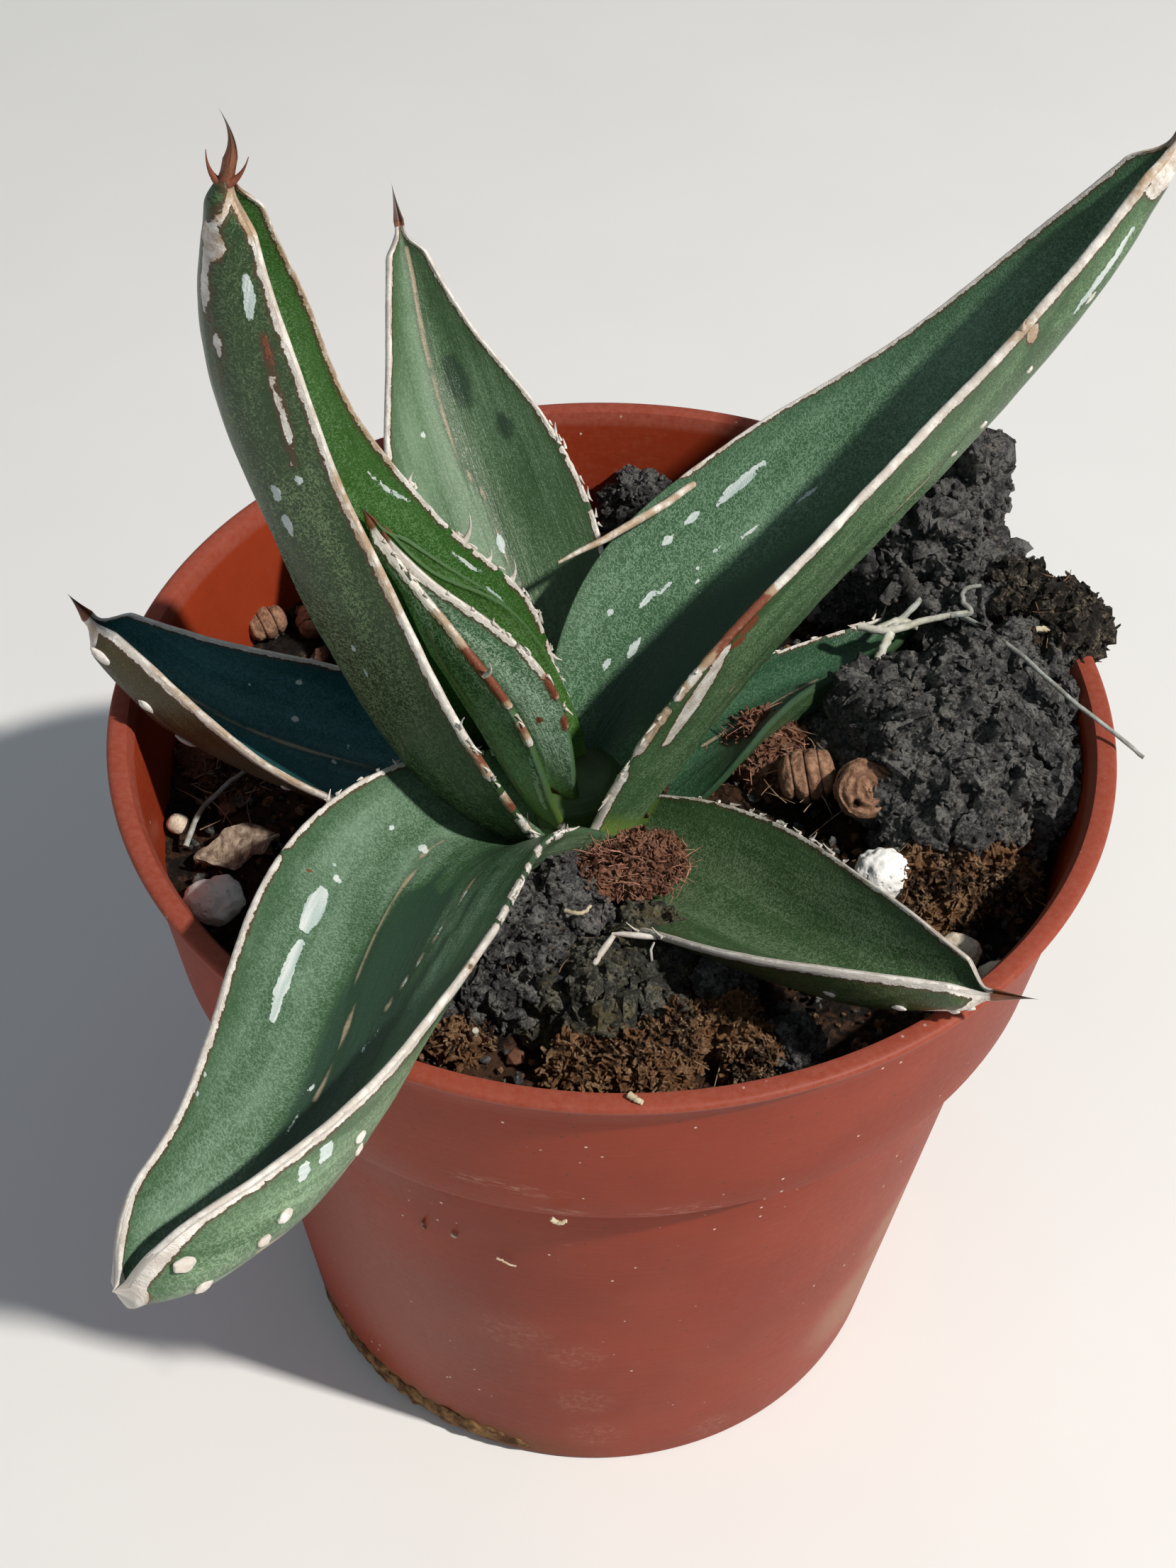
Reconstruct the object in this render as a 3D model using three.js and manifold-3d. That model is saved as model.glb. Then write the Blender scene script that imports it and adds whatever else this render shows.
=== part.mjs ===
// A young sharkskin agave in a round nursery pot.
// Millimetres, +Z up, origin at the middle of the pot's underside.
import * as THREE from "three";
import { mergeVertices } from "three/addons/utils/BufferGeometryUtils.js";
import Module from "manifold-3d";

const wasm = await Module();
wasm.setup();

// Driving dimensions of the pot
const pot = {
  height: 93,
  rimRadius: 52.5,
  lipWidth: 2,
  lipHeight: 0.9,
  collarTopRadius: 51,
  collarBottomRadius: 48.4,
  collarHeight: 23.5,
  bodyTopRadius: 45.2,
  baseRadius: 37,
  baseRounding: 1,
  wall: 1.2,
  floor: 1.8,
  edge: 0.2,
  ledgeEdge: 0.4,
  ledgeInside: 1.2,
  sides: 44,
  drainHoles: 8,
  drainRadius: 3,
  drainCircle: 27,
  drainSides: 10,
};

// Driving dimensions of the soil and of the short stem that the leaves stand on
const soil = { level: 78, mound: 2, moundRadius: 20, bump: 0.55, rings: 9, sectors: 25 };
const crown = { at: [-4.5, -2], bottom: 62, shoulder: 80, top: 85, radius: 6.5, sides: 14 };

// Clearance kept between pieces that touch, and how far a leaf's foot reaches into the crown
const gap = 0.33;
const leafRoot = 4;

// What all leaves share: stations along the blade, thickness of the horny margin and its bead,
// height of the keel, the part of each half that bends, and where the blade starts to close up
const leafMesh = {
  stations: 16,
  margin: 0.85,
  bead: 0.3,
  beadWidth: 0.1,
  keel: 0.35,
  bend: 0.45,
  blunt: 0.93,
};
const tooth = { radius: 0.75, root: 0.9, outward: 0.7, forward: 0.7 };

// Each leaf is driven by values at even steps from its foot to its tip:
// heading in plan and pitch above level, roll about its own line, the fold of its two halves
// (0 is flat, 90 is shut), and its width measured round the fold. The end spine may lean.
// Teeth stand on the margins at [step along, side, length], knobs on the underside at
// [step along, across, radius].
const leaves = {
  leaf_heart_inner: {
    base: [-5, -2.5, 84],
    length: 38,
    heading: [183, 186, 182, 170],
    pitch: [71, 65, 57, 57],
    roll: [10, -11, 10],
    fold: [44, 61, 69, 69],
    width: [8, 11, 12.5, 10.5, 6, 1.5],
    thickness: 2,
    spine: 1.5,
    color: 0x6f8f6a,
    stations: 10,
  },
  leaf_heart_outer: {
    base: [-7, -3.5, 83],
    length: 40,
    heading: [188, 185, 177, 166],
    pitch: [68, 68, 61, 60],
    roll: [12, 10, 5],
    fold: [38, 52, 62, 71],
    width: [11, 14, 15.5, 12.5, 4.5, 1.5],
    thickness: 2.2,
    spine: 2,
    color: 0x5c7f4c,
    stations: 11,
    teeth: [[0.47, 1, 1.6]],
  },
  leaf_tall: {
    base: [-10.5, -4, 82],
    length: 84,
    heading: [198, 187, 184, 177],
    pitch: [55, 67, 76, 104],
    roll: [26, 4, -3],
    fold: [53, 54, 64, 71],
    width: [22, 33, 26.5, 20, 16.5, 3.5],
    thickness: 3.4,
    spine: 6,
    lean: -2.2,
    color: 0x4b6847,
    teeth: [
      [0.985, 1, 2.2],
      [0.985, 0, 2],
      [0.35, -1, 2.6],
      [0.25, -1, 2.2],
    ],
    knobs: [
      [0.4, 0.35, 0.7],
      [0.47, 0.4, 0.6],
      [0.55, 0.3, 0.7],
      [0.66, 0.3, 0.8],
      [0.82, 0.35, 0.8],
    ],
  },
  leaf_right: {
    base: [0.5, -3, 81],
    length: 91,
    heading: [46, 34, 22, 22],
    pitch: [54, 36, 48, 68],
    roll: [17, 19, 12],
    fold: [62, 46, 47, 63],
    width: [20, 34, 32, 23, 15, 3.5],
    thickness: 2.8,
    spine: 6,
    color: 0x4d6f55,
    knobs: [
      [0.62, -0.4, 0.7],
      [0.8, -0.4, 0.7],
    ],
  },
  leaf_back: {
    base: [-4, 5.5, 79],
    length: 62,
    heading: [120, 121, 120, 111],
    pitch: [37, 41, 46, 54],
    roll: [0, 7, 1],
    fold: [17, 26, 34, 46],
    width: [14, 19, 23, 20, 10.5, 2.5],
    thickness: 3,
    spine: 4,
    color: 0x56775c,
  },
  leaf_front_left: {
    base: [-3.5, -7.5, 78],
    length: 91,
    heading: [206, 254, 261, 225],
    pitch: [47, 21, 13, 10],
    roll: [5, 1, -19],
    fold: [72, 32, 47, 78],
    width: [15.5, 20, 24, 24, 20, 11.5],
    thickness: 3.4,
    spine: 1,
    color: 0x4f7057,
    knobs: [
      [0.62, 0.72, 0.6],
      [0.68, 0.66, 0.8],
      [0.74, 0.72, 0.7],
      [0.83, 0.6, 0.8],
      [0.9, 0.5, 1],
      [0.94, 0.3, 0.7],
    ],
  },
  leaf_front_right: {
    base: [1.5, -9, 78.5],
    length: 51,
    heading: [-40, -51, -42, -25],
    pitch: [25, 20.5, 22.5, 22],
    roll: [-19, -5, 4],
    fold: [8, 28, 45, 71],
    width: [17, 19.5, 20, 17.5, 12.5, 3.5],
    thickness: 2.9,
    spine: 4.5,
    color: 0x47634a,
    knobs: [
      [0.72, -0.7, 0.7],
      [0.84, -0.7, 0.6],
    ],
  },
  leaf_left: {
    base: [-11, -0.5, 79],
    length: 50,
    heading: [191, 188, 175, 157],
    pitch: [28, 23, 28, 44],
    roll: [1, 18, -14],
    fold: [12, 32, 61, 76],
    width: [14, 17, 18, 17, 12.5, 5],
    thickness: 3.2,
    spine: 3,
    color: 0x3f6060,
    knobs: [
      [0.5, 0.7, 0.6],
      [0.7, 0.7, 0.6],
      [0.9, 0.6, 0.7],
    ],
  },
  leaf_back_right: {
    base: [4, 2, 79],
    length: 38,
    heading: [34, 33, 34, 45],
    pitch: [20, 13, 9, 11],
    roll: [-7, 27, 0],
    fold: [13, 26, 31, 37],
    width: [12.5, 15, 15, 12, 6.5, 1.5],
    thickness: 2.6,
    spine: 2,
    color: 0x4e7350,
  },
};

// The strip of dry margin that has peeled off the right leaf, from its root in the leaf to its free end
const peel = {
  radius: 0.45,
  points: [[7.5, 21.5, 104.6], [4.7, 17.8, 105.2], [0.3, 13.1, 105.2], [-6.2, 9.5, 104]],
};

// Loose pieces: place, full size, turn in plan, roughness, fineness of the mesh, seed,
// and the further lobes joined to a larger clod
const peat = 0x2b2724;
const bark = 0x5b4030;
const grain = 0xe4e0d8;
const lumps = {
  clod_right: {
    at: [36, 2, 85],
    size: [27, 24, 15],
    turn: 20,
    rough: 0.15,
    detail: 3,
    seed: 3,
    color: peat,
    joined: [
      { at: [42.5, 9, 87], size: [14, 13, 13] },
      { at: [29, 5.5, 84], size: [11, 11, 11] },
      { at: [39.5, -9.5, 81], size: [14, 8, 9] },
    ],
  },
  clod_back: {
    at: [32.5, 30.5, 88.5],
    size: [21, 12, 24],
    turn: -38,
    rough: 0.16,
    detail: 3,
    seed: 5,
    color: peat,
    joined: [
      { at: [39.8, 29.3, 97], size: [4.5, 3.5, 8] },
      { at: [40.5, 23.5, 87.5], size: [13, 12, 13] },
      { at: [27.5, 37, 91], size: [8, 7, 16] },
    ],
  },
  clod_rim: {
    at: [46.5, 15.3, 93], size: [11.5, 11, 9],
    turn: 10, rough: 0.15, detail: 2, seed: 12, color: bark,
  },
  clod_fibrous: { at: [17, 6.5, 81], size: [6.5, 8, 5.5], rough: 0.15, detail: 2, seed: 21, color: bark },
  clod_small: {
    at: [22, 9.5, 80.5], size: [5, 6, 4.5],
    turn: 30, rough: 0.14, detail: 2, seed: 23, color: peat,
  },
  clod_wall: { at: [2, 44, 83], size: [7, 6, 8], rough: 0.2, detail: 2, seed: 25, color: peat },
  clod_on_leaf: {
    at: [2.5, -15.5, 85.5], size: [11.5, 7, 5],
    turn: 12, rough: 0.16, detail: 3, seed: 31, color: 0x4d2f25,
  },
  clod_front_a: {
    at: [-11, -25.5, 80.2],
    size: [15, 13, 12],
    turn: 20,
    rough: 0.16,
    detail: 3,
    seed: 41,
    color: peat,
    joined: [{ at: [-6, -19.5, 81.5], size: [10, 9, 9] }],
  },
  clod_front_b: {
    at: [0, -30.5, 79.6],
    size: [16, 12.5, 10.5],
    turn: -15,
    rough: 0.17,
    detail: 3,
    seed: 43,
    color: bark,
    joined: [{ at: [5, -25, 80.5], size: [9, 8, 8] }],
  },
  clod_front_d: {
    at: [11.5, -28, 79.5], size: [6, 8, 9],
    turn: 10, rough: 0.18, detail: 2, seed: 53, color: bark,
  },
  clod_front_e: {
    at: [18.5, -33.5, 79.5], size: [6, 4, 4],
    turn: 15, rough: 0.15, detail: 2, seed: 59, color: peat,
  },
  peat_tuft: {
    at: [-14.5, -9, 84.5], size: [8, 3.2, 3],
    turn: -12, rough: 0.15, detail: 2, seed: 61, color: 0x5d3a2b,
  },
  crumb_left: {
    at: [-45.2, 4, 79], size: [3.5, 5.5, 3],
    turn: 10, rough: 0.15, detail: 2, seed: 67, color: 0x5d3a2b,
  },
  crumb_left_low: {
    at: [-41, -1, 79.2], size: [5, 3, 2.4],
    turn: 15, rough: 0.15, detail: 1, seed: 71, color: 0x77705a,
  },
  scrap_left: {
    at: [-39, -11, 79.3], size: [9, 4.5, 2.2],
    turn: 25, rough: 0.1, detail: 2, seed: 73, color: 0x9c8d7c,
  },
  perlite_right: {
    at: [28.7, -12.4, 80.2], size: [4.6, 4.4, 4],
    rough: 0.07, detail: 1, seed: 81, color: grain,
  },
  perlite_rim_a: {
    at: [36.2, -21.2, 80.2], size: [4.6, 4, 4],
    rough: 0.07, detail: 1, seed: 83, color: 0xcdbfa6,
  },
  perlite_rim_b: {
    at: [39.6, -25, 81], size: [3.8, 3.6, 3.6],
    rough: 0.07, detail: 1, seed: 87, color: 0xcdbfa6,
  },
  perlite_left: {
    at: [-40.4, -18, 79.4], size: [6.4, 5.4, 4.6],
    turn: 20, rough: 0.1, detail: 1, seed: 89, color: grain,
  },
  perlite_left_small: {
    at: [-46, -7, 78.8], size: [2.4, 2.4, 2.2],
    rough: 0.06, detail: 1, seed: 91, color: 0xcbb3a6,
  },
  perlite_grey: {
    at: [23.6, 14.4, 79.8], size: [5.8, 4.2, 2.8],
    turn: 5, rough: 0.07, detail: 1, seed: 93, color: 0x9a9a96,
  },
  grit_grey: {
    at: [23.8, 31.5, 79.6], size: [4, 4.2, 4],
    rough: 0.08, detail: 1, seed: 97, color: 0x6f7170,
  },
};

// Ringed chunks of bark: place, radius, length, heading, pitch and number of rings
const chunks = {
  bark_left: { at: [21.4, 0.4, 83.4], radius: 2.5, length: 5.2, heading: 75, pitch: 5, rings: 4 },
  bark_right: { at: [27.3, -4, 86], radius: 2.9, length: 6.2, heading: -15, pitch: 10, rings: 5 },
  curl_left: { at: [-40.6, 24.3, 80], radius: 2.2, length: 5.5, heading: 30, pitch: 10, rings: 3 },
  curl_right: { at: [-35.4, 25, 80], radius: 2.1, length: 4.5, heading: 100, pitch: 20, rings: 3 },
};

// Root fibres: their line and radius
const fibres = {
  root_fibre: {
    radius: 0.4,
    points: [
      [34, 21.5, 88.5],
      [38.6, 16, 91.6],
      [42.5, 9.3, 93.6],
      [47.2, 1.6, 94.6],
      [52, -2.9, 94.1],
      [54.6, -5.2, 93.6],
    ],
    color: 0x8e9691,
  },
  root_fibre_white: {
    radius: 0.35,
    points: [[30.2, 22.5, 84.5], [33, 22, 86.5], [36.4, 21, 88.2], [38.4, 22.8, 90.2], [39.6, 26, 92.5]],
    color: 0xd8d6cc,
  },
  root_fibre_left: {
    radius: 0.4,
    points: [[-44.6, -10.5, 79.4], [-43.5, -6.5, 80.7], [-40.5, -2.2, 81.4], [-38.5, 0.5, 80.6]],
    color: 0x8b8377,
  },
};

const radians = THREE.MathUtils.degToRad;

// A closed geometry as a solid, and a solid as a geometry again
function solidOf(geometry) {
  const bare = geometry.clone();
  for (const name of Object.keys(bare.attributes)) if (name !== "position") bare.deleteAttribute(name);
  const merged = mergeVertices(bare, 1e-4);
  const triVerts = new Uint32Array(merged.index.array);
  const vertProperties = merged.attributes.position.array;
  return new wasm.Manifold(new wasm.Mesh({ numProp: 3, vertProperties, triVerts }));
}

function geometryOf(solid) {
  const mesh = solid.getMesh();
  const geometry = new THREE.BufferGeometry();
  geometry.setAttribute("position", new THREE.BufferAttribute(Float32Array.from(mesh.vertProperties), 3));
  geometry.setIndex(new THREE.BufferAttribute(Uint32Array.from(mesh.triVerts), 1));
  geometry.computeVertexNormals();
  return geometry;
}

// The largest body of a solid, so that a cut leaves no scrap
function largest(solid) {
  const bodies = solid.decompose();
  return bodies.reduce((best, body) => (body.volume() > best.volume() ? body : best));
}

// A smooth curve through evenly spaced values, read at t from 0 to 1
function along(values, t) {
  const last = values.length - 1;
  const x = THREE.MathUtils.clamp(t, 0, 1) * last;
  const i = Math.min(Math.floor(x), last - 1);
  const before = i > 0 ? values[i - 1] : 2 * values[0] - values[1];
  const after = i + 2 <= last ? values[i + 2] : 2 * values[last] - values[last - 1];
  const f = x - i;
  const [b, c] = [values[i], values[i + 1]];
  const cubic = 1.5 * (b - c) + (after - before) / 2;
  return b + f * ((c - before) / 2 + f * (before - 2.5 * b + 2 * c - after / 2 + f * cubic));
}

// Repeatable random numbers from 0 to 1
function seeded(seed) {
  let state = seed * 2654435761;
  return () => {
    state = (state + 0x6d2b79f5) | 0;
    let t = Math.imul(state ^ (state >>> 15), 1 | state);
    t = (t + Math.imul(t ^ (t >>> 7), 61 | t)) ^ t;
    return ((t ^ (t >>> 14)) >>> 0) / 4294967296;
  };
}

// Directions of a leaf's line at t: forward, up out of its face, and to its left
function leafFrame(leaf, t) {
  const heading = radians(along(leaf.heading, t));
  const pitch = radians(along(leaf.pitch, t));
  const roll = radians(along(leaf.roll, t));
  const forward = new THREE.Vector3(
    Math.cos(pitch) * Math.cos(heading),
    Math.cos(pitch) * Math.sin(heading),
    Math.sin(pitch),
  );
  const level = new THREE.Vector3(-Math.sin(heading), Math.cos(heading), 0);
  const face = new THREE.Vector3().crossVectors(forward, level);
  const up = face.clone().multiplyScalar(Math.cos(roll)).addScaledVector(level, Math.sin(roll));
  const left = level.clone().multiplyScalar(Math.cos(roll)).addScaledVector(face, -Math.sin(roll));
  return { forward, up, left };
}

// The point of a leaf's line at t, which may lie behind its foot or past its tip
const lineSteps = 60;
function leafPoint(leaf, t) {
  const point = new THREE.Vector3(...leaf.base);
  const inside = THREE.MathUtils.clamp(t, 0, 1);
  const steps = Math.max(1, Math.round(inside * lineSteps));
  const step = (inside * leaf.length) / steps;
  for (let i = 0; i < steps; i++) {
    point.addScaledVector(leafFrame(leaf, (inside * (i + 0.5)) / steps).forward, step);
  }
  return point.addScaledVector(leafFrame(leaf, inside).forward, (t - inside) * leaf.length);
}

// Width round the fold, closed off round the end of the blade
const spineRadius = 0.75;
function leafWidth(leaf, t) {
  const full = along(leaf.width, t);
  const end = THREE.MathUtils.clamp((t - leafMesh.blunt) / (1 - leafMesh.blunt), 0, 1);
  return Math.max(full * Math.sqrt(1 - end * end), 2 * spineRadius);
}

// A point of the leaf's section: across runs from -1 at the right margin to 1 at the left
function leafSection(leaf, t, across, lower, grow) {
  const { up, left } = leafFrame(leaf, t);
  const half = leafWidth(leaf, t) / 2;
  const fold = radians(along(leaf.fold, t));
  const side = Math.sign(across);
  const slices = 12;
  let lateral = 0;
  let rise = 0;
  let angle = 0;
  for (let i = 0; i < slices; i++) {
    const s = (Math.abs(across) * (i + 0.5)) / slices;
    angle = fold * THREE.MathUtils.smoothstep(s, 0, leafMesh.bend);
    lateral += (Math.cos(angle) * half * Math.abs(across)) / slices;
    rise += (Math.sin(angle) * half * Math.abs(across)) / slices;
  }
  angle = fold * THREE.MathUtils.smoothstep(Math.abs(across), 0, leafMesh.bend);
  const point = leafPoint(leaf, t).addScaledVector(left, side * lateral).addScaledVector(up, rise);
  const normal = up.clone().multiplyScalar(Math.cos(angle)).addScaledVector(left, -side * Math.sin(angle));
  const outward = left.clone().multiplyScalar(side * Math.cos(angle)).addScaledVector(up, Math.sin(angle));
  const widest = Math.max(...leaf.width);
  const fullness = THREE.MathUtils.clamp((1.3 * leafWidth(leaf, t)) / widest, 0.35, 1);
  const flesh = leafMesh.margin + (leaf.thickness - leafMesh.margin) * (1 - across * across) * fullness;
  const ridge = across === 0 ? leafMesh.keel * fullness : 0;
  const bead = Math.abs(across) > 1 - leafMesh.beadWidth ? leafMesh.bead : 0;
  point.addScaledVector(normal, lower ? -(flesh + ridge + grow) : bead + grow);
  if (Math.abs(across) === 1) point.addScaledVector(outward, grow);
  return point;
}

// Faces that close a flat ring of points, seen in the plane of two directions, facing back
function capOf(ring, across, up) {
  const flat = ring.map((p) => new THREE.Vector2(p.dot(across), p.dot(up)));
  const turn = Math.sign(THREE.ShapeUtils.area(flat));
  return THREE.ShapeUtils.triangulateShape(flat, []).map(([a, b, c]) => {
    const face = Math.sign(THREE.ShapeUtils.area([flat[a], flat[b], flat[c]]));
    return face === turn ? [a, c, b] : [a, b, c];
  });
}

// A skin over rings of points, closed on a point at its end and by the cap's faces at its start
function skinOf(rings, cap, end) {
  const count = rings[0].length;
  const points = [...rings.flat(), end];
  const last = points.length - 1;
  const index = cap.flat();
  for (let k = 0; k < count; k++) {
    const next = (k + 1) % count;
    for (let i = 0; i < rings.length - 1; i++) {
      const a = i * count + k;
      const b = i * count + next;
      index.push(a, b, b + count, a, b + count, a + count);
    }
    const tail = (rings.length - 1) * count;
    index.push(last, tail + k, tail + next);
  }
  const geometry = new THREE.BufferGeometry().setFromPoints(points);
  geometry.setIndex(index);
  return geometry;
}

const upperAcross = [1, 0.92, 0.68, 0.34, 0, -0.34, -0.68, -0.92, -1];
const lowerAcross = [-1, -0.66, -0.28, 0, 0.28, 0.66, 1];

function leafBlade(leaf, grow) {
  const stations = leaf.stations ?? leafMesh.stations;
  const first = -(leafRoot + grow) / leaf.length;
  const rings = [];
  for (let i = 0; i <= stations; i++) {
    // The last stations close up, where the blade rounds into its spine
    const even = i / stations;
    const t = first + (1 - first) * (even + 0.06 * Math.sin(Math.PI * even));
    rings.push([
      ...upperAcross.map((s) => leafSection(leaf, t, s, false, grow)),
      ...lowerAcross.map((s) => leafSection(leaf, t, s, true, grow)),
    ]);
  }
  const foot = leafFrame(leaf, first);
  const { forward, up } = leafFrame(leaf, 1);
  const tip = rings[rings.length - 1];
  const middle = tip.reduce((sum, p) => sum.add(p), new THREE.Vector3()).divideScalar(tip.length);
  rings.push(tip.map((p) => p.clone().lerp(middle, 0.5).addScaledVector(forward, leaf.spine * 0.4)));
  const point = middle.addScaledVector(forward, leaf.spine + grow).addScaledVector(up, leaf.lean ?? 0);
  return skinOf(rings, capOf(rings[0], foot.left, foot.up), point);
}

// A small cone from its root inside the piece out to its tip
function thorn(root, tip, radius) {
  const direction = tip.clone().sub(root);
  const length = direction.length();
  const cone = new THREE.ConeGeometry(radius, length, 4);
  const turn = new THREE.Quaternion().setFromUnitVectors(new THREE.Vector3(0, 1, 0), direction.normalize());
  const centre = root.clone().addScaledVector(direction, length / 2);
  return cone.applyMatrix4(new THREE.Matrix4().compose(centre, turn, new THREE.Vector3(1, 1, 1)));
}

function leafSolid(leaf, grow = 0) {
  let body = solidOf(leafBlade(leaf, grow));
  if (grow > 0) return body;
  for (const [t, side, length] of leaf.teeth ?? []) {
    // Side 0 stands on the keel
    const face = (across, lower) => leafSection(leaf, t, across, lower, 0);
    const middle = (across) => face(across, false).lerp(face(across, true), 0.5);
    const edge = side === 0 ? face(0, true) : middle(side);
    const out = edge.clone().sub(middle(side * 0.8)).normalize();
    const tip = edge.clone().addScaledVector(out, length * tooth.outward);
    tip.addScaledVector(leafFrame(leaf, t).forward, length * tooth.forward);
    body = body.add(solidOf(thorn(edge.addScaledVector(out, -tooth.root), tip, tooth.radius)));
  }
  for (const [t, across, radius] of leaf.knobs ?? []) {
    const centre = leafSection(leaf, t, across, true, 0);
    const knob = new THREE.OctahedronGeometry(radius, 0).translate(centre.x, centre.y, centre.z);
    body = body.add(solidOf(knob));
  }
  return body;
}

// A tube with flat ends along a smooth line through the points
function tube(points, radius, steps) {
  const path = new THREE.CatmullRomCurve3(points.map((p) => new THREE.Vector3(...p)));
  const section = new THREE.Shape();
  const corners = 6;
  for (let i = 0; i < corners; i++) {
    const angle = (2 * Math.PI * i) / corners;
    const corner = [radius * Math.cos(angle), radius * Math.sin(angle)];
    if (i === 0) section.moveTo(...corner);
    else section.lineTo(...corner);
  }
  return new THREE.ExtrudeGeometry(section, { steps, extrudePath: path, bevelEnabled: false });
}

// A rough lump: a ball pushed in and out by a few waves and a little at random
function lumpGeometry({ at, size, turn = 0, rough, detail, seed }, grow) {
  const random = seeded(seed);
  const waves = Array.from({ length: 5 }, (_, i) => ({
    direction: new THREE.Vector3(random() - 0.5, random() - 0.5, random() - 0.5).setLength(2.2 + 1.6 * i),
    phase: 2 * Math.PI * random(),
  }));
  const ball = new THREE.IcosahedronGeometry(1, detail);
  ball.deleteAttribute("normal");
  ball.deleteAttribute("uv");
  const geometry = mergeVertices(ball, 1e-4);
  const position = geometry.attributes.position;
  const point = new THREE.Vector3();
  for (let i = 0; i < position.count; i++) {
    point.fromBufferAttribute(position, i);
    let push = 0;
    waves.forEach((wave, k) => (push += Math.sin(wave.direction.dot(point) + wave.phase) / (1 + 0.5 * k)));
    const jitter = (random() - 0.5) * rough * 0.9;
    const radius = 1 + rough * push * 0.55 + jitter;
    const outward = point.clone();
    point.multiplyScalar(radius).multiply(new THREE.Vector3(...size).multiplyScalar(0.5));
    point.addScaledVector(outward, grow);
    position.setXYZ(i, point.x, point.y, point.z);
  }
  return geometry.rotateZ(radians(turn)).translate(...at);
}

// A lump with its further lobes joined on, each rough in its own way
function lumpSolid(row, grow = 0) {
  let body = solidOf(lumpGeometry(row, grow));
  (row.joined ?? []).forEach((lobe, i) => {
    const whole = { ...row, ...lobe, detail: 1, seed: row.seed + 100 * (i + 1) };
    body = body.add(solidOf(lumpGeometry(whole, grow)));
  });
  return body;
}

// A ringed chunk of bark: a turned barrel with grooves between its rings
function chunkGeometry({ at, radius, length, heading, pitch, rings }, grow) {
  const profile = [new THREE.Vector2(0, -length / 2 - grow)];
  const steps = rings * 2;
  for (let i = 0; i <= steps; i++) {
    const s = i / steps;
    const barrel = 0.62 + 0.38 * Math.sin(Math.PI * s);
    const groove = i % 2 === 0 ? 0.9 : 1;
    profile.push(new THREE.Vector2(radius * barrel * groove + grow, (s - 0.5) * (length + 2 * grow)));
  }
  profile.push(new THREE.Vector2(0, length / 2 + grow));
  const barrel = new THREE.LatheGeometry(profile, 9);
  barrel.rotateZ(-Math.PI / 2).rotateY(-radians(pitch)).rotateZ(radians(heading));
  return barrel.translate(...at);
}

// The pot's wall profile, from the middle of its underside out, up and back in
function potSolid() {
  const step = pot.height - pot.collarHeight;
  const lip = pot.height - pot.lipHeight;
  const profile = [
    [0, 0],
    [pot.baseRadius - pot.baseRounding, 0],
    [pot.baseRadius, pot.baseRounding],
    [pot.bodyTopRadius, step],
    [pot.collarBottomRadius - pot.ledgeEdge, step],
    [pot.collarBottomRadius, step + pot.ledgeEdge],
    [pot.collarTopRadius, lip],
    [pot.rimRadius, lip],
    [pot.rimRadius, pot.height - pot.edge],
    [pot.rimRadius - pot.edge, pot.height],
    [pot.rimRadius - pot.lipWidth, pot.height],
    [innerRadius(lip), lip],
    [innerRadius(step + pot.ledgeInside), step + pot.ledgeInside],
    [innerRadius(step), step],
    [innerRadius(pot.floor), pot.floor],
    [0, pot.floor],
  ];
  const shell = new THREE.LatheGeometry(
    profile.map(([r, z]) => new THREE.Vector2(r, z)),
    pot.sides,
  ).rotateX(Math.PI / 2);
  let body = solidOf(shell);
  for (let i = 0; i < pot.drainHoles; i++) {
    const angle = (2 * Math.PI * (i + 0.5)) / pot.drainHoles;
    const hole = new THREE.CylinderGeometry(pot.drainRadius, pot.drainRadius, 3 * pot.floor, pot.drainSides);
    hole.rotateX(Math.PI / 2);
    hole.translate(pot.drainCircle * Math.cos(angle), pot.drainCircle * Math.sin(angle), pot.floor / 2);
    body = body.subtract(solidOf(hole));
  }
  return body;
}

// Radius of the pot's inner face at a height
function innerRadius(z) {
  const step = pot.height - pot.collarHeight;
  if (z > step) {
    const t = (z - step) / pot.collarHeight;
    return THREE.MathUtils.lerp(pot.collarBottomRadius, pot.collarTopRadius, t) - pot.wall;
  }
  return THREE.MathUtils.lerp(pot.baseRadius, pot.bodyTopRadius, z / step) - pot.wall;
}

// What a loose piece may not enter: the pot's wall and lip, with the gap round them
function potZone() {
  const far = 2 * pot.rimRadius;
  const over = pot.height + gap;
  const step = pot.height - pot.collarHeight;
  // Seen from the middle the many-sided wall is nearer at the middle of its flats
  const zone = [pot.height, step + 1, step, 0].map((z) => [innerRadius(z) - gap - 0.1, z]);
  const profile = [[far, 0], [far, over], [innerRadius(pot.height) - gap, over], ...zone, [far, 0]];
  const ring = new THREE.LatheGeometry(
    profile.map(([r, z]) => new THREE.Vector2(r, z)),
    pot.sides,
  );
  return solidOf(ring.rotateX(Math.PI / 2));
}

// Height of the soil's open surface
function soilHeight(x, y) {
  const dx = x - crown.at[0];
  const dy = y - crown.at[1];
  const mound = soil.mound * Math.exp(-(dx * dx + dy * dy) / (soil.moundRadius * soil.moundRadius));
  const bumps = Math.sin(x * 0.42 + 1.3) * Math.cos(y * 0.37) + 0.6 * Math.sin(x * 0.9 - y * 0.8 + 2);
  return soil.level + mound + soil.bump * bumps;
}

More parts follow.
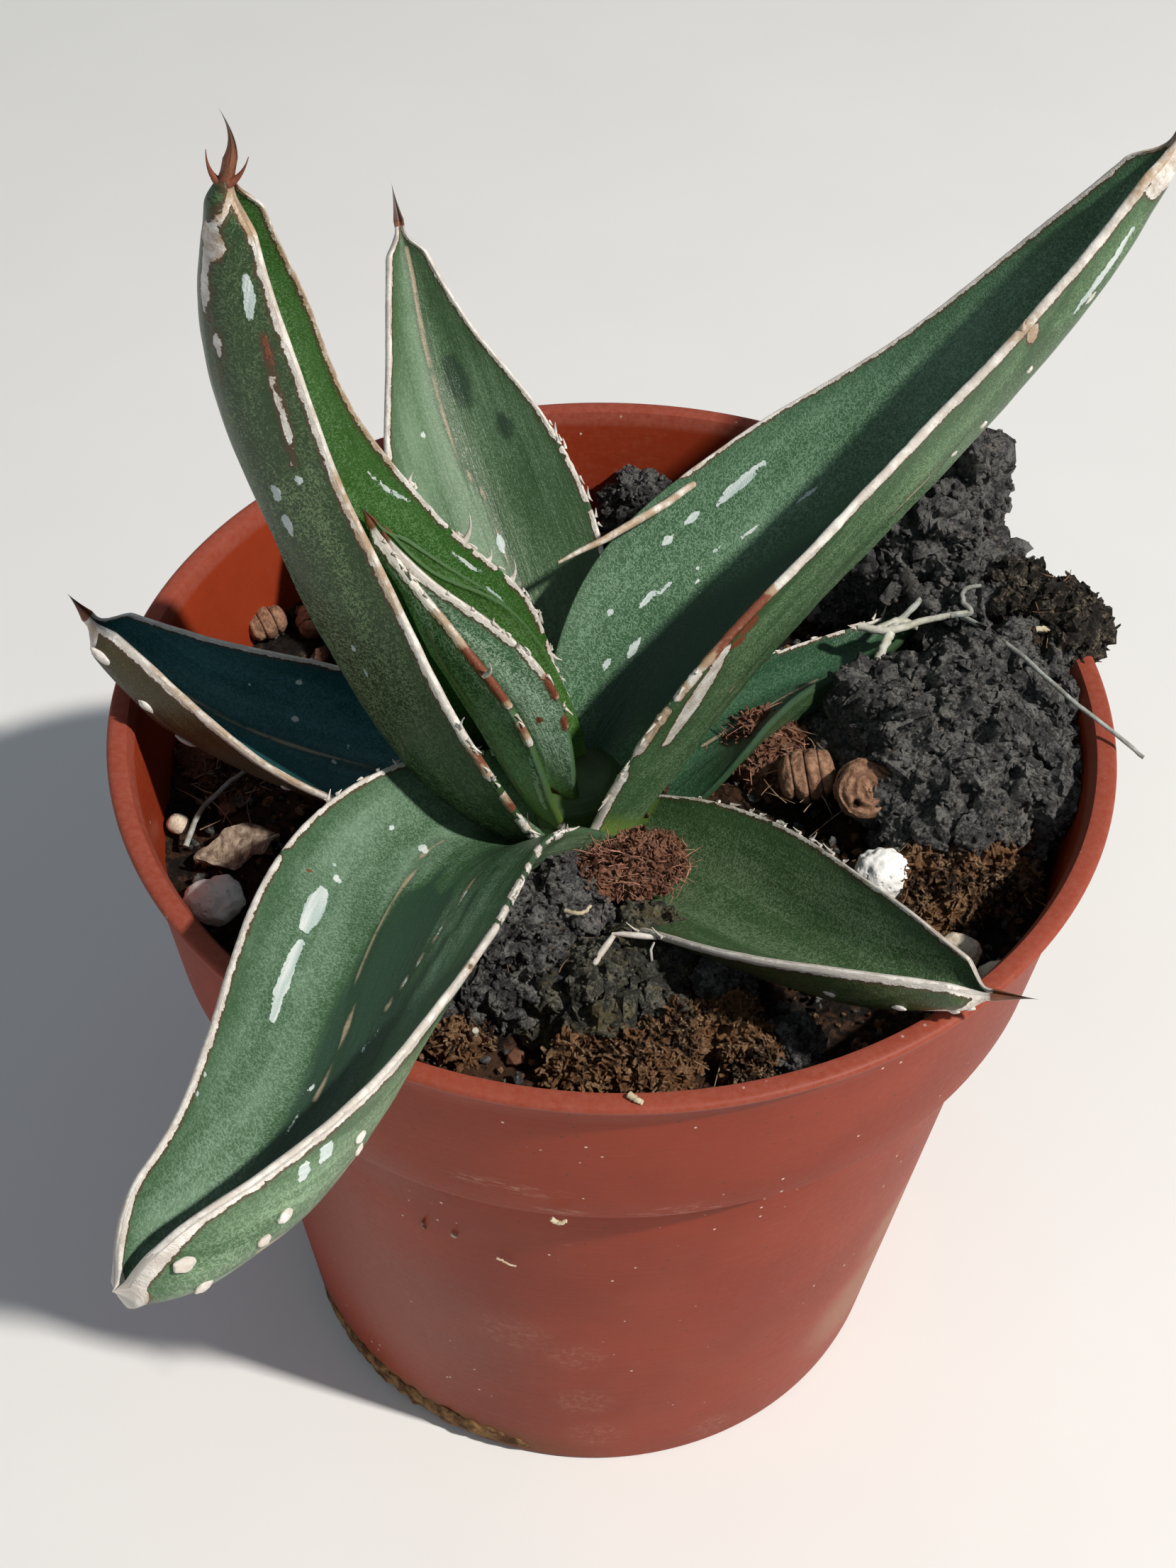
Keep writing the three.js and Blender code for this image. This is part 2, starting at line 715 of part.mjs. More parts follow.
// The soil fills the pot under its uneven surface
function soilSolid(grow = 0) {
  const rings = [];
  const ringAt = (radius, height) =>
    Array.from({ length: soil.sectors }, (_, k) => {
      const angle = (2 * Math.PI * k) / soil.sectors;
      const [x, y] = [radius * Math.cos(angle), radius * Math.sin(angle)];
      return new THREE.Vector3(x, y, height ?? soilHeight(x, y) + grow);
    });
  const bottom = pot.floor + gap;
  const step = pot.height - pot.collarHeight;
  // Corners of the many-sided wall lie a little inside its circle, so the soil keeps inside them
  const clear = gap + 0.15 - grow;
  rings.push(ringAt(innerRadius(bottom) - clear, bottom));
  rings.push(ringAt(innerRadius(step) - clear, step + 0.2));
  rings.push(ringAt(innerRadius(step + 1.8) - clear, step + 1.8));
  const edge = innerRadius(soil.level) - clear;
  for (let i = 0; i < soil.rings; i++) rings.push(ringAt(edge * (1 - i / soil.rings)));
  const top = new THREE.Vector3(0, 0, soilHeight(0, 0) + grow);
  const floor = capOf(rings[0], new THREE.Vector3(1, 0, 0), new THREE.Vector3(0, 1, 0));
  return solidOf(skinOf(rings, floor, top));
}

function crownGeometry(grow = 0) {
  const { at, bottom, shoulder, top, radius, sides } = crown;
  const profile = [
    [0, bottom - grow],
    [radius * 0.7 + grow, bottom - grow],
    [radius + grow, shoulder - 8],
    [radius + grow, shoulder],
    [radius * 0.6 + grow, top - 1 + grow],
    [0, top + grow],
  ];
  const turned = new THREE.LatheGeometry(
    profile.map(([r, z]) => new THREE.Vector2(r, z)),
    sides,
  );
  return turned.rotateX(Math.PI / 2).translate(at[0], at[1], 0);
}

const root = new THREE.Group();
function addMesh(name, solid, color, roughness) {
  const material = new THREE.MeshStandardMaterial({ color, roughness, metalness: 0 });
  const mesh = new THREE.Mesh(geometryOf(solid), material);
  mesh.name = name;
  root.add(mesh);
}

// Pieces are fitted in turn: each is cut back from the grown copies of those before it
addMesh("pot", potSolid(), 0xa04a32, 0.55);
addMesh("crown", solidOf(crownGeometry()), 0x9fae6c, 0.6);
let taken = solidOf(crownGeometry(gap));
for (const [name, leaf] of Object.entries(leaves)) {
  let body = leafSolid(leaf);
  if (name === "leaf_right") body = body.add(solidOf(tube(peel.points, peel.radius, 10)));
  addMesh(name, largest(body.subtract(taken)), leaf.color, 0.5);
  taken = taken.add(leafSolid(leaf, gap));
}
addMesh("soil", largest(soilSolid().subtract(taken)), 0x26211e, 1);
taken = taken.add(potZone()).add(soilSolid(gap));
const loose = [
  ...Object.entries(chunks).map(([name, row]) => [name, bark, (grow) => solidOf(chunkGeometry(row, grow))]),
  ...Object.entries(fibres).map(([name, row]) => [
    name,
    row.color,
    (grow) => solidOf(tube(row.points, row.radius + grow, 12)),
  ]),
  ...Object.entries(lumps).map(([name, row]) => [name, row.color, (grow) => lumpSolid(row, grow)]),
];
for (const [name, color, shape] of loose) {
  addMesh(name, largest(shape(0).subtract(taken)), color, 0.95);
  taken = taken.add(shape(gap));
}

export default root;
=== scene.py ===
import math
import random

import bpy
from mathutils import Matrix, Vector, noise


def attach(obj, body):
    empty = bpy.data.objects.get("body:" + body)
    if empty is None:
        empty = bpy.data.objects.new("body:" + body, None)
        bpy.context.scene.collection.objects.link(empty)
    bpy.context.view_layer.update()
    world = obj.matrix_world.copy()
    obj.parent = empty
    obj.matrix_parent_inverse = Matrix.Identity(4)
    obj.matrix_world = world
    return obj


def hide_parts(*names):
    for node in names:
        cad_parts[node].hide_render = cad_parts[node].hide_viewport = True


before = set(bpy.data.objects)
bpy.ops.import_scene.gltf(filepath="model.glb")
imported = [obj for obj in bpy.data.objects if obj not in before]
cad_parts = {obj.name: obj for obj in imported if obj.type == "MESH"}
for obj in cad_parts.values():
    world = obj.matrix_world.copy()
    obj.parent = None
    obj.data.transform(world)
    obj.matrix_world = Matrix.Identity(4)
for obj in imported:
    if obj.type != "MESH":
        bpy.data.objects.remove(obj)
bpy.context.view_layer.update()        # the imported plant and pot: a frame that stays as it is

mm = 0.001  # every size below is in millimetres

print("stage: helpers")


def deselectAll():
    if bpy.context.object and bpy.context.object.mode != "OBJECT":
        bpy.ops.object.mode_set(mode="OBJECT")
    bpy.ops.object.select_all(action="DESELECT")


def pick(piece, *others):
    deselectAll()
    for one in (piece, *others):
        one.select_set(True)
    bpy.context.view_layer.objects.active = piece


def named(name):  # the object that an operator has just added
    piece = bpy.context.object
    piece.name = name
    piece.data.name = name
    return piece


def applyModifiers(piece):
    pick(piece)
    for modifier in list(piece.modifiers):
        bpy.ops.object.modifier_apply(modifier=modifier.name)


def applyPlace(piece):
    pick(piece)
    bpy.ops.object.transform_apply(location=True, rotation=True, scale=True)


def joined(name, pieces):
    pick(*pieces)
    if len(pieces) > 1:
        bpy.ops.object.join()
    return named(name)


def smoothed(piece, degrees=60):
    pick(piece)
    bpy.ops.object.shade_smooth_by_angle(angle=math.radians(degrees))


def finished(piece, material, slot, *nodes):  # dresses a piece and ties it to the frame
    piece.data.materials.clear()
    piece.data.materials.append(material)
    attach(piece, "root")
    if nodes:
        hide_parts(*nodes)
    return piece


def clamp(value, low=0.0, high=1.0):
    return min(max(value, low), high)


def smoothStep(value, low, high):
    share = clamp((value - low) / (high - low))
    return share * share * (3 - 2 * share)


def ripple(x, y, z):  # a smooth random wave between about -1 and 1
    return noise.noise(Vector((x, y, z)))


class Shading:  # a material and short ways to add its nodes
    def __init__(self, name, roughness=0.6, specular=0.5):
        self.material = bpy.data.materials.new(name)
        self.material.use_nodes = True
        self.tree = self.material.node_tree
        self.shader = self.tree.nodes["Principled BSDF"]
        self.shader.inputs["Roughness"].default_value = roughness
        self.shader.inputs["Specular IOR Level"].default_value = specular
        self.normal = None

    def add(self, kind, **settings):
        made = self.tree.nodes.new(kind)
        for key, value in settings.items():
            setattr(made, key, value)
        return made

    def feed(self, value, socket):  # a number, a colour or another node's output
        if isinstance(value, bpy.types.NodeSocket):
            self.tree.links.new(value, socket)
        elif isinstance(value, tuple) and len(value) == 3 and len(socket.default_value) == 4:
            socket.default_value = (*value, 1)
        else:
            socket.default_value = value

    def place(self, stretch=(1, 1, 1)):  # object coordinates, counted in millimetres
        mapping = self.add("ShaderNodeMapping")
        self.feed(self.add("ShaderNodeTexCoord").outputs["Object"], mapping.inputs["Vector"])
        mapping.inputs["Scale"].default_value = [s / mm for s in stretch]
        return mapping.outputs["Vector"]

    def attribute(self, name):
        return self.add("ShaderNodeAttribute", attribute_name=name).outputs["Vector"]

    def split(self, vector):
        parts = self.add("ShaderNodeSeparateXYZ")
        self.feed(vector, parts.inputs[0])
        return parts.outputs[0], parts.outputs[1], parts.outputs[2]

    def scaled(self, vector, stretch):
        made = self.add("ShaderNodeVectorMath", operation="MULTIPLY")
        self.feed(vector, made.inputs[0])
        made.inputs[1].default_value = stretch
        return made.outputs[0]

    def grain(self, vector, scale, detail=4.0, rough=0.55, twist=0.0):
        made = self.add("ShaderNodeTexNoise")
        self.feed(vector, made.inputs["Vector"])
        made.inputs["Scale"].default_value = scale
        made.inputs["Detail"].default_value = detail
        made.inputs["Roughness"].default_value = rough
        made.inputs["Distortion"].default_value = twist
        return made.outputs["Fac"]

    def cells(self, vector, scale, feature="F1", output="Distance"):
        made = self.add("ShaderNodeTexVoronoi", feature=feature)
        self.feed(vector, made.inputs["Vector"])
        made.inputs["Scale"].default_value = scale
        return made.outputs[output]

    def span(self, value, low, high, start=0.0, end=1.0):  # a soft step between two values
        made = self.add("ShaderNodeMapRange", interpolation_type="SMOOTHSTEP")
        self.feed(value, made.inputs["Value"])
        made.inputs["From Min"].default_value = low
        made.inputs["From Max"].default_value = high
        made.inputs["To Min"].default_value = start
        made.inputs["To Max"].default_value = end
        return made.outputs["Result"]

    def calc(self, operation, first, second=0.0):
        made = self.add("ShaderNodeMath", operation=operation)
        self.feed(first, made.inputs[0])
        self.feed(second, made.inputs[1])
        return made.outputs[0]

    def times(self, first, second):
        return self.calc("MULTIPLY", first, second)

    def swayed(self, value, grain, amount, middle=0.5):  # a value pushed up and down by a grain
        return self.calc("ADD", value, self.times(self.calc("SUBTRACT", grain, middle), amount))

    def mix(self, share, first, second):
        made = self.add("ShaderNodeMix", data_type="RGBA", blend_type="MIX")
        self.feed(share, made.inputs[0])
        self.feed(first, made.inputs[6])
        self.feed(second, made.inputs[7])
        return made.outputs[2]

    def near(self, vector, spots):  # 1 close to one of the spots (place, reach), 0 away from them all
        found = 0.0
        for at, reach in spots:
            gap = self.add("ShaderNodeVectorMath", operation="DISTANCE")
            self.feed(vector, gap.inputs[0])
            gap.inputs[1].default_value = at
            found = self.calc("MAXIMUM", found,
                        self.span(gap.outputs["Value"], 0.35 * reach, reach, 1.0, 0.0))
        return found

    def bump(self, height, distance, strength=1.0):
        made = self.add("ShaderNodeBump")
        self.feed(height, made.inputs["Height"])
        made.inputs["Distance"].default_value = distance * mm
        made.inputs["Strength"].default_value = strength
        if self.normal:
            self.feed(self.normal, made.inputs["Normal"])
        self.normal = made.outputs["Normal"]

    def close(self, colour, roughness=None):
        self.feed(colour, self.shader.inputs["Base Color"])
        if roughness is not None:
            self.feed(roughness, self.shader.inputs["Roughness"])
        if self.normal:
            self.feed(self.normal, self.shader.inputs["Normal"])
        return self.material


print("stage: camera and floor")
view = {
    "place": (0.0, -176.395, 264.264),
    "right": (0.99900789, 0.03790638, 0.02337389),
    "up": (-0.04352562, 0.72006664, 0.69253849),
    "forward": (-0.00942087, 0.69286878, -0.72100215),
    "lens": 53.93,
    "sensor": 36.0,
}
lamps = {
    # direction to the lamp, its distance and size in metres, its power and colour
    "key": {"toward": (0.556, -0.295, 0.777), "distance": 1.3, "size": 0.05, "power": 19.5,
            "colour": (1.0, 0.95, 0.88)},
    "fill": {"toward": (-0.45, -0.70, 0.55), "distance": 1.4, "size": 1.2, "power": 1.2,
             "colour": (0.85, 0.92, 1.0)},
}
surroundings = {"colour": (0.78, 0.89, 1.0), "strength": 0.22, "floor": 3000.0}

camera = bpy.data.objects.new("camera", bpy.data.cameras.new("camera"))
bpy.context.collection.objects.link(camera)
camera.data.lens = view["lens"]
camera.data.sensor_width = view["sensor"]
camera.data.clip_start = 0.01
sides = [Vector(view["right"]), Vector(view["up"]), -Vector(view["forward"]), Vector(view["place"]) * mm]
camera.matrix_world = Matrix([[side[row] for side in sides] for row in range(3)] + [[0, 0, 0, 1]])
bpy.context.scene.camera = camera

for name, lamp in lamps.items():
    toward = Vector(lamp["toward"]).normalized()
    bpy.ops.object.light_add(type="AREA", location=toward * lamp["distance"] + Vector((0, 0, 0.08)))
    light = bpy.context.object
    light.name = name
    light.rotation_euler = toward.to_track_quat("Z", "Y").to_euler()
    light.data.size = lamp["size"]
    light.data.energy = lamp["power"]
    light.data.color = lamp["colour"]

world = bpy.data.worlds.new("studio")
world.use_nodes = True
world.node_tree.nodes["Background"].inputs["Color"].default_value = (*surroundings["colour"], 1)
world.node_tree.nodes["Background"].inputs["Strength"].default_value = surroundings["strength"]
bpy.context.scene.world = world
bpy.context.scene.view_settings.view_transform = "Standard"

deselectAll()
bpy.ops.mesh.primitive_plane_add(size=surroundings["floor"] * mm)
floor = named("floor")
floorPaint = Shading("pale_floor", roughness=0.8, specular=0.2)
floorMottle = floorPaint.grain(floorPaint.place(), 0.02)
floor.data.materials.append(floorPaint.close(floorPaint.mix(floorMottle, (0.80, 0.80, 0.79),
            (0.86, 0.86, 0.85))))

print("stage: leaf materials")


def hornColour(paint, wear, place):  # off-white horn that turns tan and then red-brown where it is worn
    blotch = paint.grain(place, 0.55, detail=5, rough=0.7)
    fine = paint.grain(place, 3.5, detail=3, rough=0.7)
    amount = paint.swayed(wear, blotch, 0.75)
    colour = paint.mix(paint.span(blotch, 0.36, 0.6), (0.82, 0.79, 0.73), (0.60, 0.54, 0.48))
    colour = paint.mix(paint.span(amount, 0.26, 0.52), colour, (0.43, 0.30, 0.19))
    colour = paint.mix(paint.span(amount, 0.58, 0.78), colour, (0.20, 0.055, 0.026))
    return paint.mix(paint.span(fine, 0.58, 0.72, 0.0, 0.4), colour, (0.34, 0.29, 0.23)), fine


def leafMaterial(name, upper, under):
    paint = Shading(name, roughness=0.45, specular=0.4)
    place = paint.attribute("leafPlace")      # along, across and side of the blade, in millimetres
    hornEdge, film, rust = paint.split(paint.attribute("leafPaint"))
    line, foot, tip = paint.split(paint.attribute("leafLines"))
    wear, dullAndShade, below = paint.split(paint.attribute("leafMore"))
    cloud = paint.grain(paint.scaled(place, (0.06, 0.20, 1)), 1.0, detail=3)
    streak = paint.grain(paint.scaled(place, (0.05, 1.1, 1)), 1.0, detail=5, rough=0.65)
    band = paint.grain(paint.scaled(place, (0.06, 0.55, 1)), 1.0, detail=1)
    speckle = paint.grain(place, 2.5, detail=1.5, rough=0.5, twist=0.6)
    maze = paint.span(paint.calc("ABSOLUTE", paint.calc("SUBTRACT", speckle, 0.5)), 0.0, 0.10, 1.0, 0.0)
    broken = paint.grain(paint.scaled(place, (0.6, 1.2, 1)), 1.0, detail=3)
    ragged = paint.swayed(paint.times(paint.calc("SUBTRACT", broken, 0.5), 0.9), speckle, 0.5)

    deep = paint.mix(below, upper[0], under[0])
    haze = paint.mix(below, upper[1], under[1])
    share = paint.calc("ADD", upper[2], paint.times(below, under[2] - upper[2]))
    share = paint.swayed(share, cloud, 1.3)
    share = paint.swayed(share, streak, 0.45)
    share = paint.swayed(share, maze, upper[3], middle=0.45)
    share = paint.calc("SUBTRACT", share, dullAndShade)
    share = paint.times(share, paint.span(hornEdge, 0.1, 3.2, 0.45, 1.0))
    share = paint.calc("SUBTRACT", share, paint.times(below, paint.span(band, 0.56, 0.6, 0.0, 0.22)))
    colour = paint.mix(paint.span(share, -0.05, 1.05), deep, haze)
    colour = paint.mix(paint.times(paint.span(paint.grain(place, 4.5, detail=2), 0.62, 0.72), 0.30), colour,
                (0.34, 0.44, 0.34))

    # painted shade: where the dark marks are strongest the face turns dark blue-green, as deep in a shaded
    # channel
    colour = paint.mix(paint.span(dullAndShade, 0.38, 0.62, 0.0, 0.75), colour,
                (0.6 * upper[0][0], 0.55 * upper[0][1], 0.9 * upper[0][2]))

    footShare = paint.swayed(foot, streak, 0.5)
    colour = paint.mix(paint.span(footShare, 0.3, 1.0), colour, (0.13, 0.22, 0.045))

    # pale lines pressed into the blade by the leaf that once lay on it
    lineShare = paint.times(paint.span(line, 0.10, 0.34, 1.0, 0.0), paint.span(broken, 0.30, 0.50))
    colour = paint.mix(paint.span(line, 0.1, 0.9, 0.45, 0.0), colour, tuple(0.35 * c for c in upper[0]))
    colour = paint.mix(paint.times(lineShare, 0.9), colour, (0.40, 0.32, 0.22))

    # dry whitish film where the bud scale tore away
    filmShare = paint.span(paint.calc("ADD", film, paint.times(ragged, 0.6)), -0.05, 0.03, 1.0, 0.0)
    filmTone = paint.mix(paint.span(streak, 0.35, 0.65), (0.46, 0.58, 0.56), (0.78, 0.82, 0.80))
    colour = paint.mix(paint.times(filmShare, 0.9), colour, filmTone)

    rustShare = paint.swayed(rust, broken, 0.9)
    colour = paint.mix(paint.span(rustShare, 0.3, 0.6), colour, (0.20, 0.062, 0.028))

    # the horny margin reaches over the face with a ragged edge and a thin dark outline
    border = paint.calc("ADD", hornEdge, paint.times(ragged, 0.7))
    colour = paint.mix(paint.span(border, 0.05, 0.40, 0.85, 0.0), colour, (0.085, 0.045, 0.022))
    hornTone, fine = hornColour(paint, wear, place)
    hornShare = paint.span(border, -0.03, 0.05, 1.0, 0.0)
    colour = paint.mix(hornShare, colour, hornTone)

    tipTone = paint.mix(paint.span(tip, 0.5, 0.72), (0.24, 0.085, 0.040), (0.13, 0.052, 0.030))
    tipTone = paint.mix(paint.span(tip, 0.74, 0.95), tipTone, (0.20, 0.17, 0.15))
    tipEdge = paint.swayed(tip, broken, 0.3)
    colour = paint.mix(paint.span(tipEdge, 0.10, 0.28), colour, tipTone)

    paint.bump(maze, 0.05, 0.45)
    paint.bump(streak, 0.35, 0.5)
    paint.bump(paint.calc("MAXIMUM", filmShare, hornShare), 0.12, 0.5)
    roughness = paint.calc("ADD", 0.36, paint.times(share, 0.16))
    roughness = paint.calc("ADD", roughness, paint.times(filmShare, 0.15))
    return paint.close(colour, roughness)


def hornMaterial():
    paint = Shading("horn", roughness=0.58, specular=0.35)
    wear = paint.split(paint.attribute("hornWear"))[0]
    colour, fine = hornColour(paint, wear, paint.place())
    paint.bump(fine, 0.10, 0.6)
    return paint.close(colour)


# upper face, then underside: green below the haze, colour of the haze, how much haze there is; speckle
leafTones = {
    "front": (((0.040, 0.095, 0.040), (0.190, 0.300, 0.205), 0.58, 0.45),
              ((0.050, 0.110, 0.045), (0.250, 0.370, 0.225), 0.50)),
    "tall": (((0.030, 0.105, 0.012), (0.105, 0.220, 0.075), 0.36, 1.00),
             ((0.026, 0.058, 0.018), (0.165, 0.240, 0.115), 0.42)),
    "right": (((0.036, 0.100, 0.042), (0.170, 0.300, 0.185), 0.50, 0.60),
              ((0.042, 0.098, 0.036), (0.175, 0.285, 0.145), 0.45)),
    "back": (((0.044, 0.095, 0.036), (0.180, 0.285, 0.175), 0.62, 0.30),
             ((0.050, 0.095, 0.045), (0.200, 0.280, 0.190), 0.50)),
    # the two heart leaves: their underside haze is brighter than on the other leaves, partly painted sunlight
    # on faces that the lamps leave in shadow
    "heart": (((0.045, 0.130, 0.018), (0.120, 0.235, 0.085), 0.38, 1.00),
              ((0.056, 0.140, 0.050), (0.420, 0.560, 0.400), 0.78)),
    "young": (((0.045, 0.130, 0.018), (0.120, 0.235, 0.085), 0.38, 1.00),
              ((0.062, 0.150, 0.072), (0.430, 0.590, 0.440), 0.84)),
    "shaded": (((0.010, 0.070, 0.075), (0.060, 0.200, 0.225), 0.45, 0.45),
               ((0.052, 0.040, 0.014), (0.110, 0.100, 0.050), 0.42)),
    "low": (((0.032, 0.076, 0.024), (0.150, 0.225, 0.120), 0.42, 0.55),
            ((0.040, 0.070, 0.022), (0.140, 0.170, 0.075), 0.40)),
    # the short leaf: darker and bluer, partly painted shade, as the leaf lies half in shadow
    "short": (((0.016, 0.066, 0.028), (0.070, 0.165, 0.085), 0.44, 0.50),
              ((0.035, 0.085, 0.028), (0.120, 0.200, 0.110), 0.45)),
}
leafPaints = {name: leafMaterial("leaf_" + name, upper, under) for name, (upper, under) in leafTones.items()}
horn = hornMaterial()

print("stage: leaves")
leafShare = {
    "rowStep": 0.40,       # distance between the rows of faces along a leaf
    "upperSteps": 48,      # faces across the upper side, the underside and each margin
    "lowerSteps": 30,
    "edgeSteps": 4,
    "spineRows": 14,
    "slices": 24,
    "margin": 0.64,
    "bead": 0.10,
    "keel": 0.35,
    "bend": 0.45,
    "blunt": 0.93,
    "root": 4.0,
    "tipRadius": 0.60,
    "taper": 0.68,         # how much thinner the end of a leaf is, under its spine
    "hornStep": 0.20,
    "hornSides": 10,
    "hornReach": 0.50,     # how far the horn reaches in over the face
}
upperSide, underSide = 0, 1
leftEdge, rightEdge = 1, -1
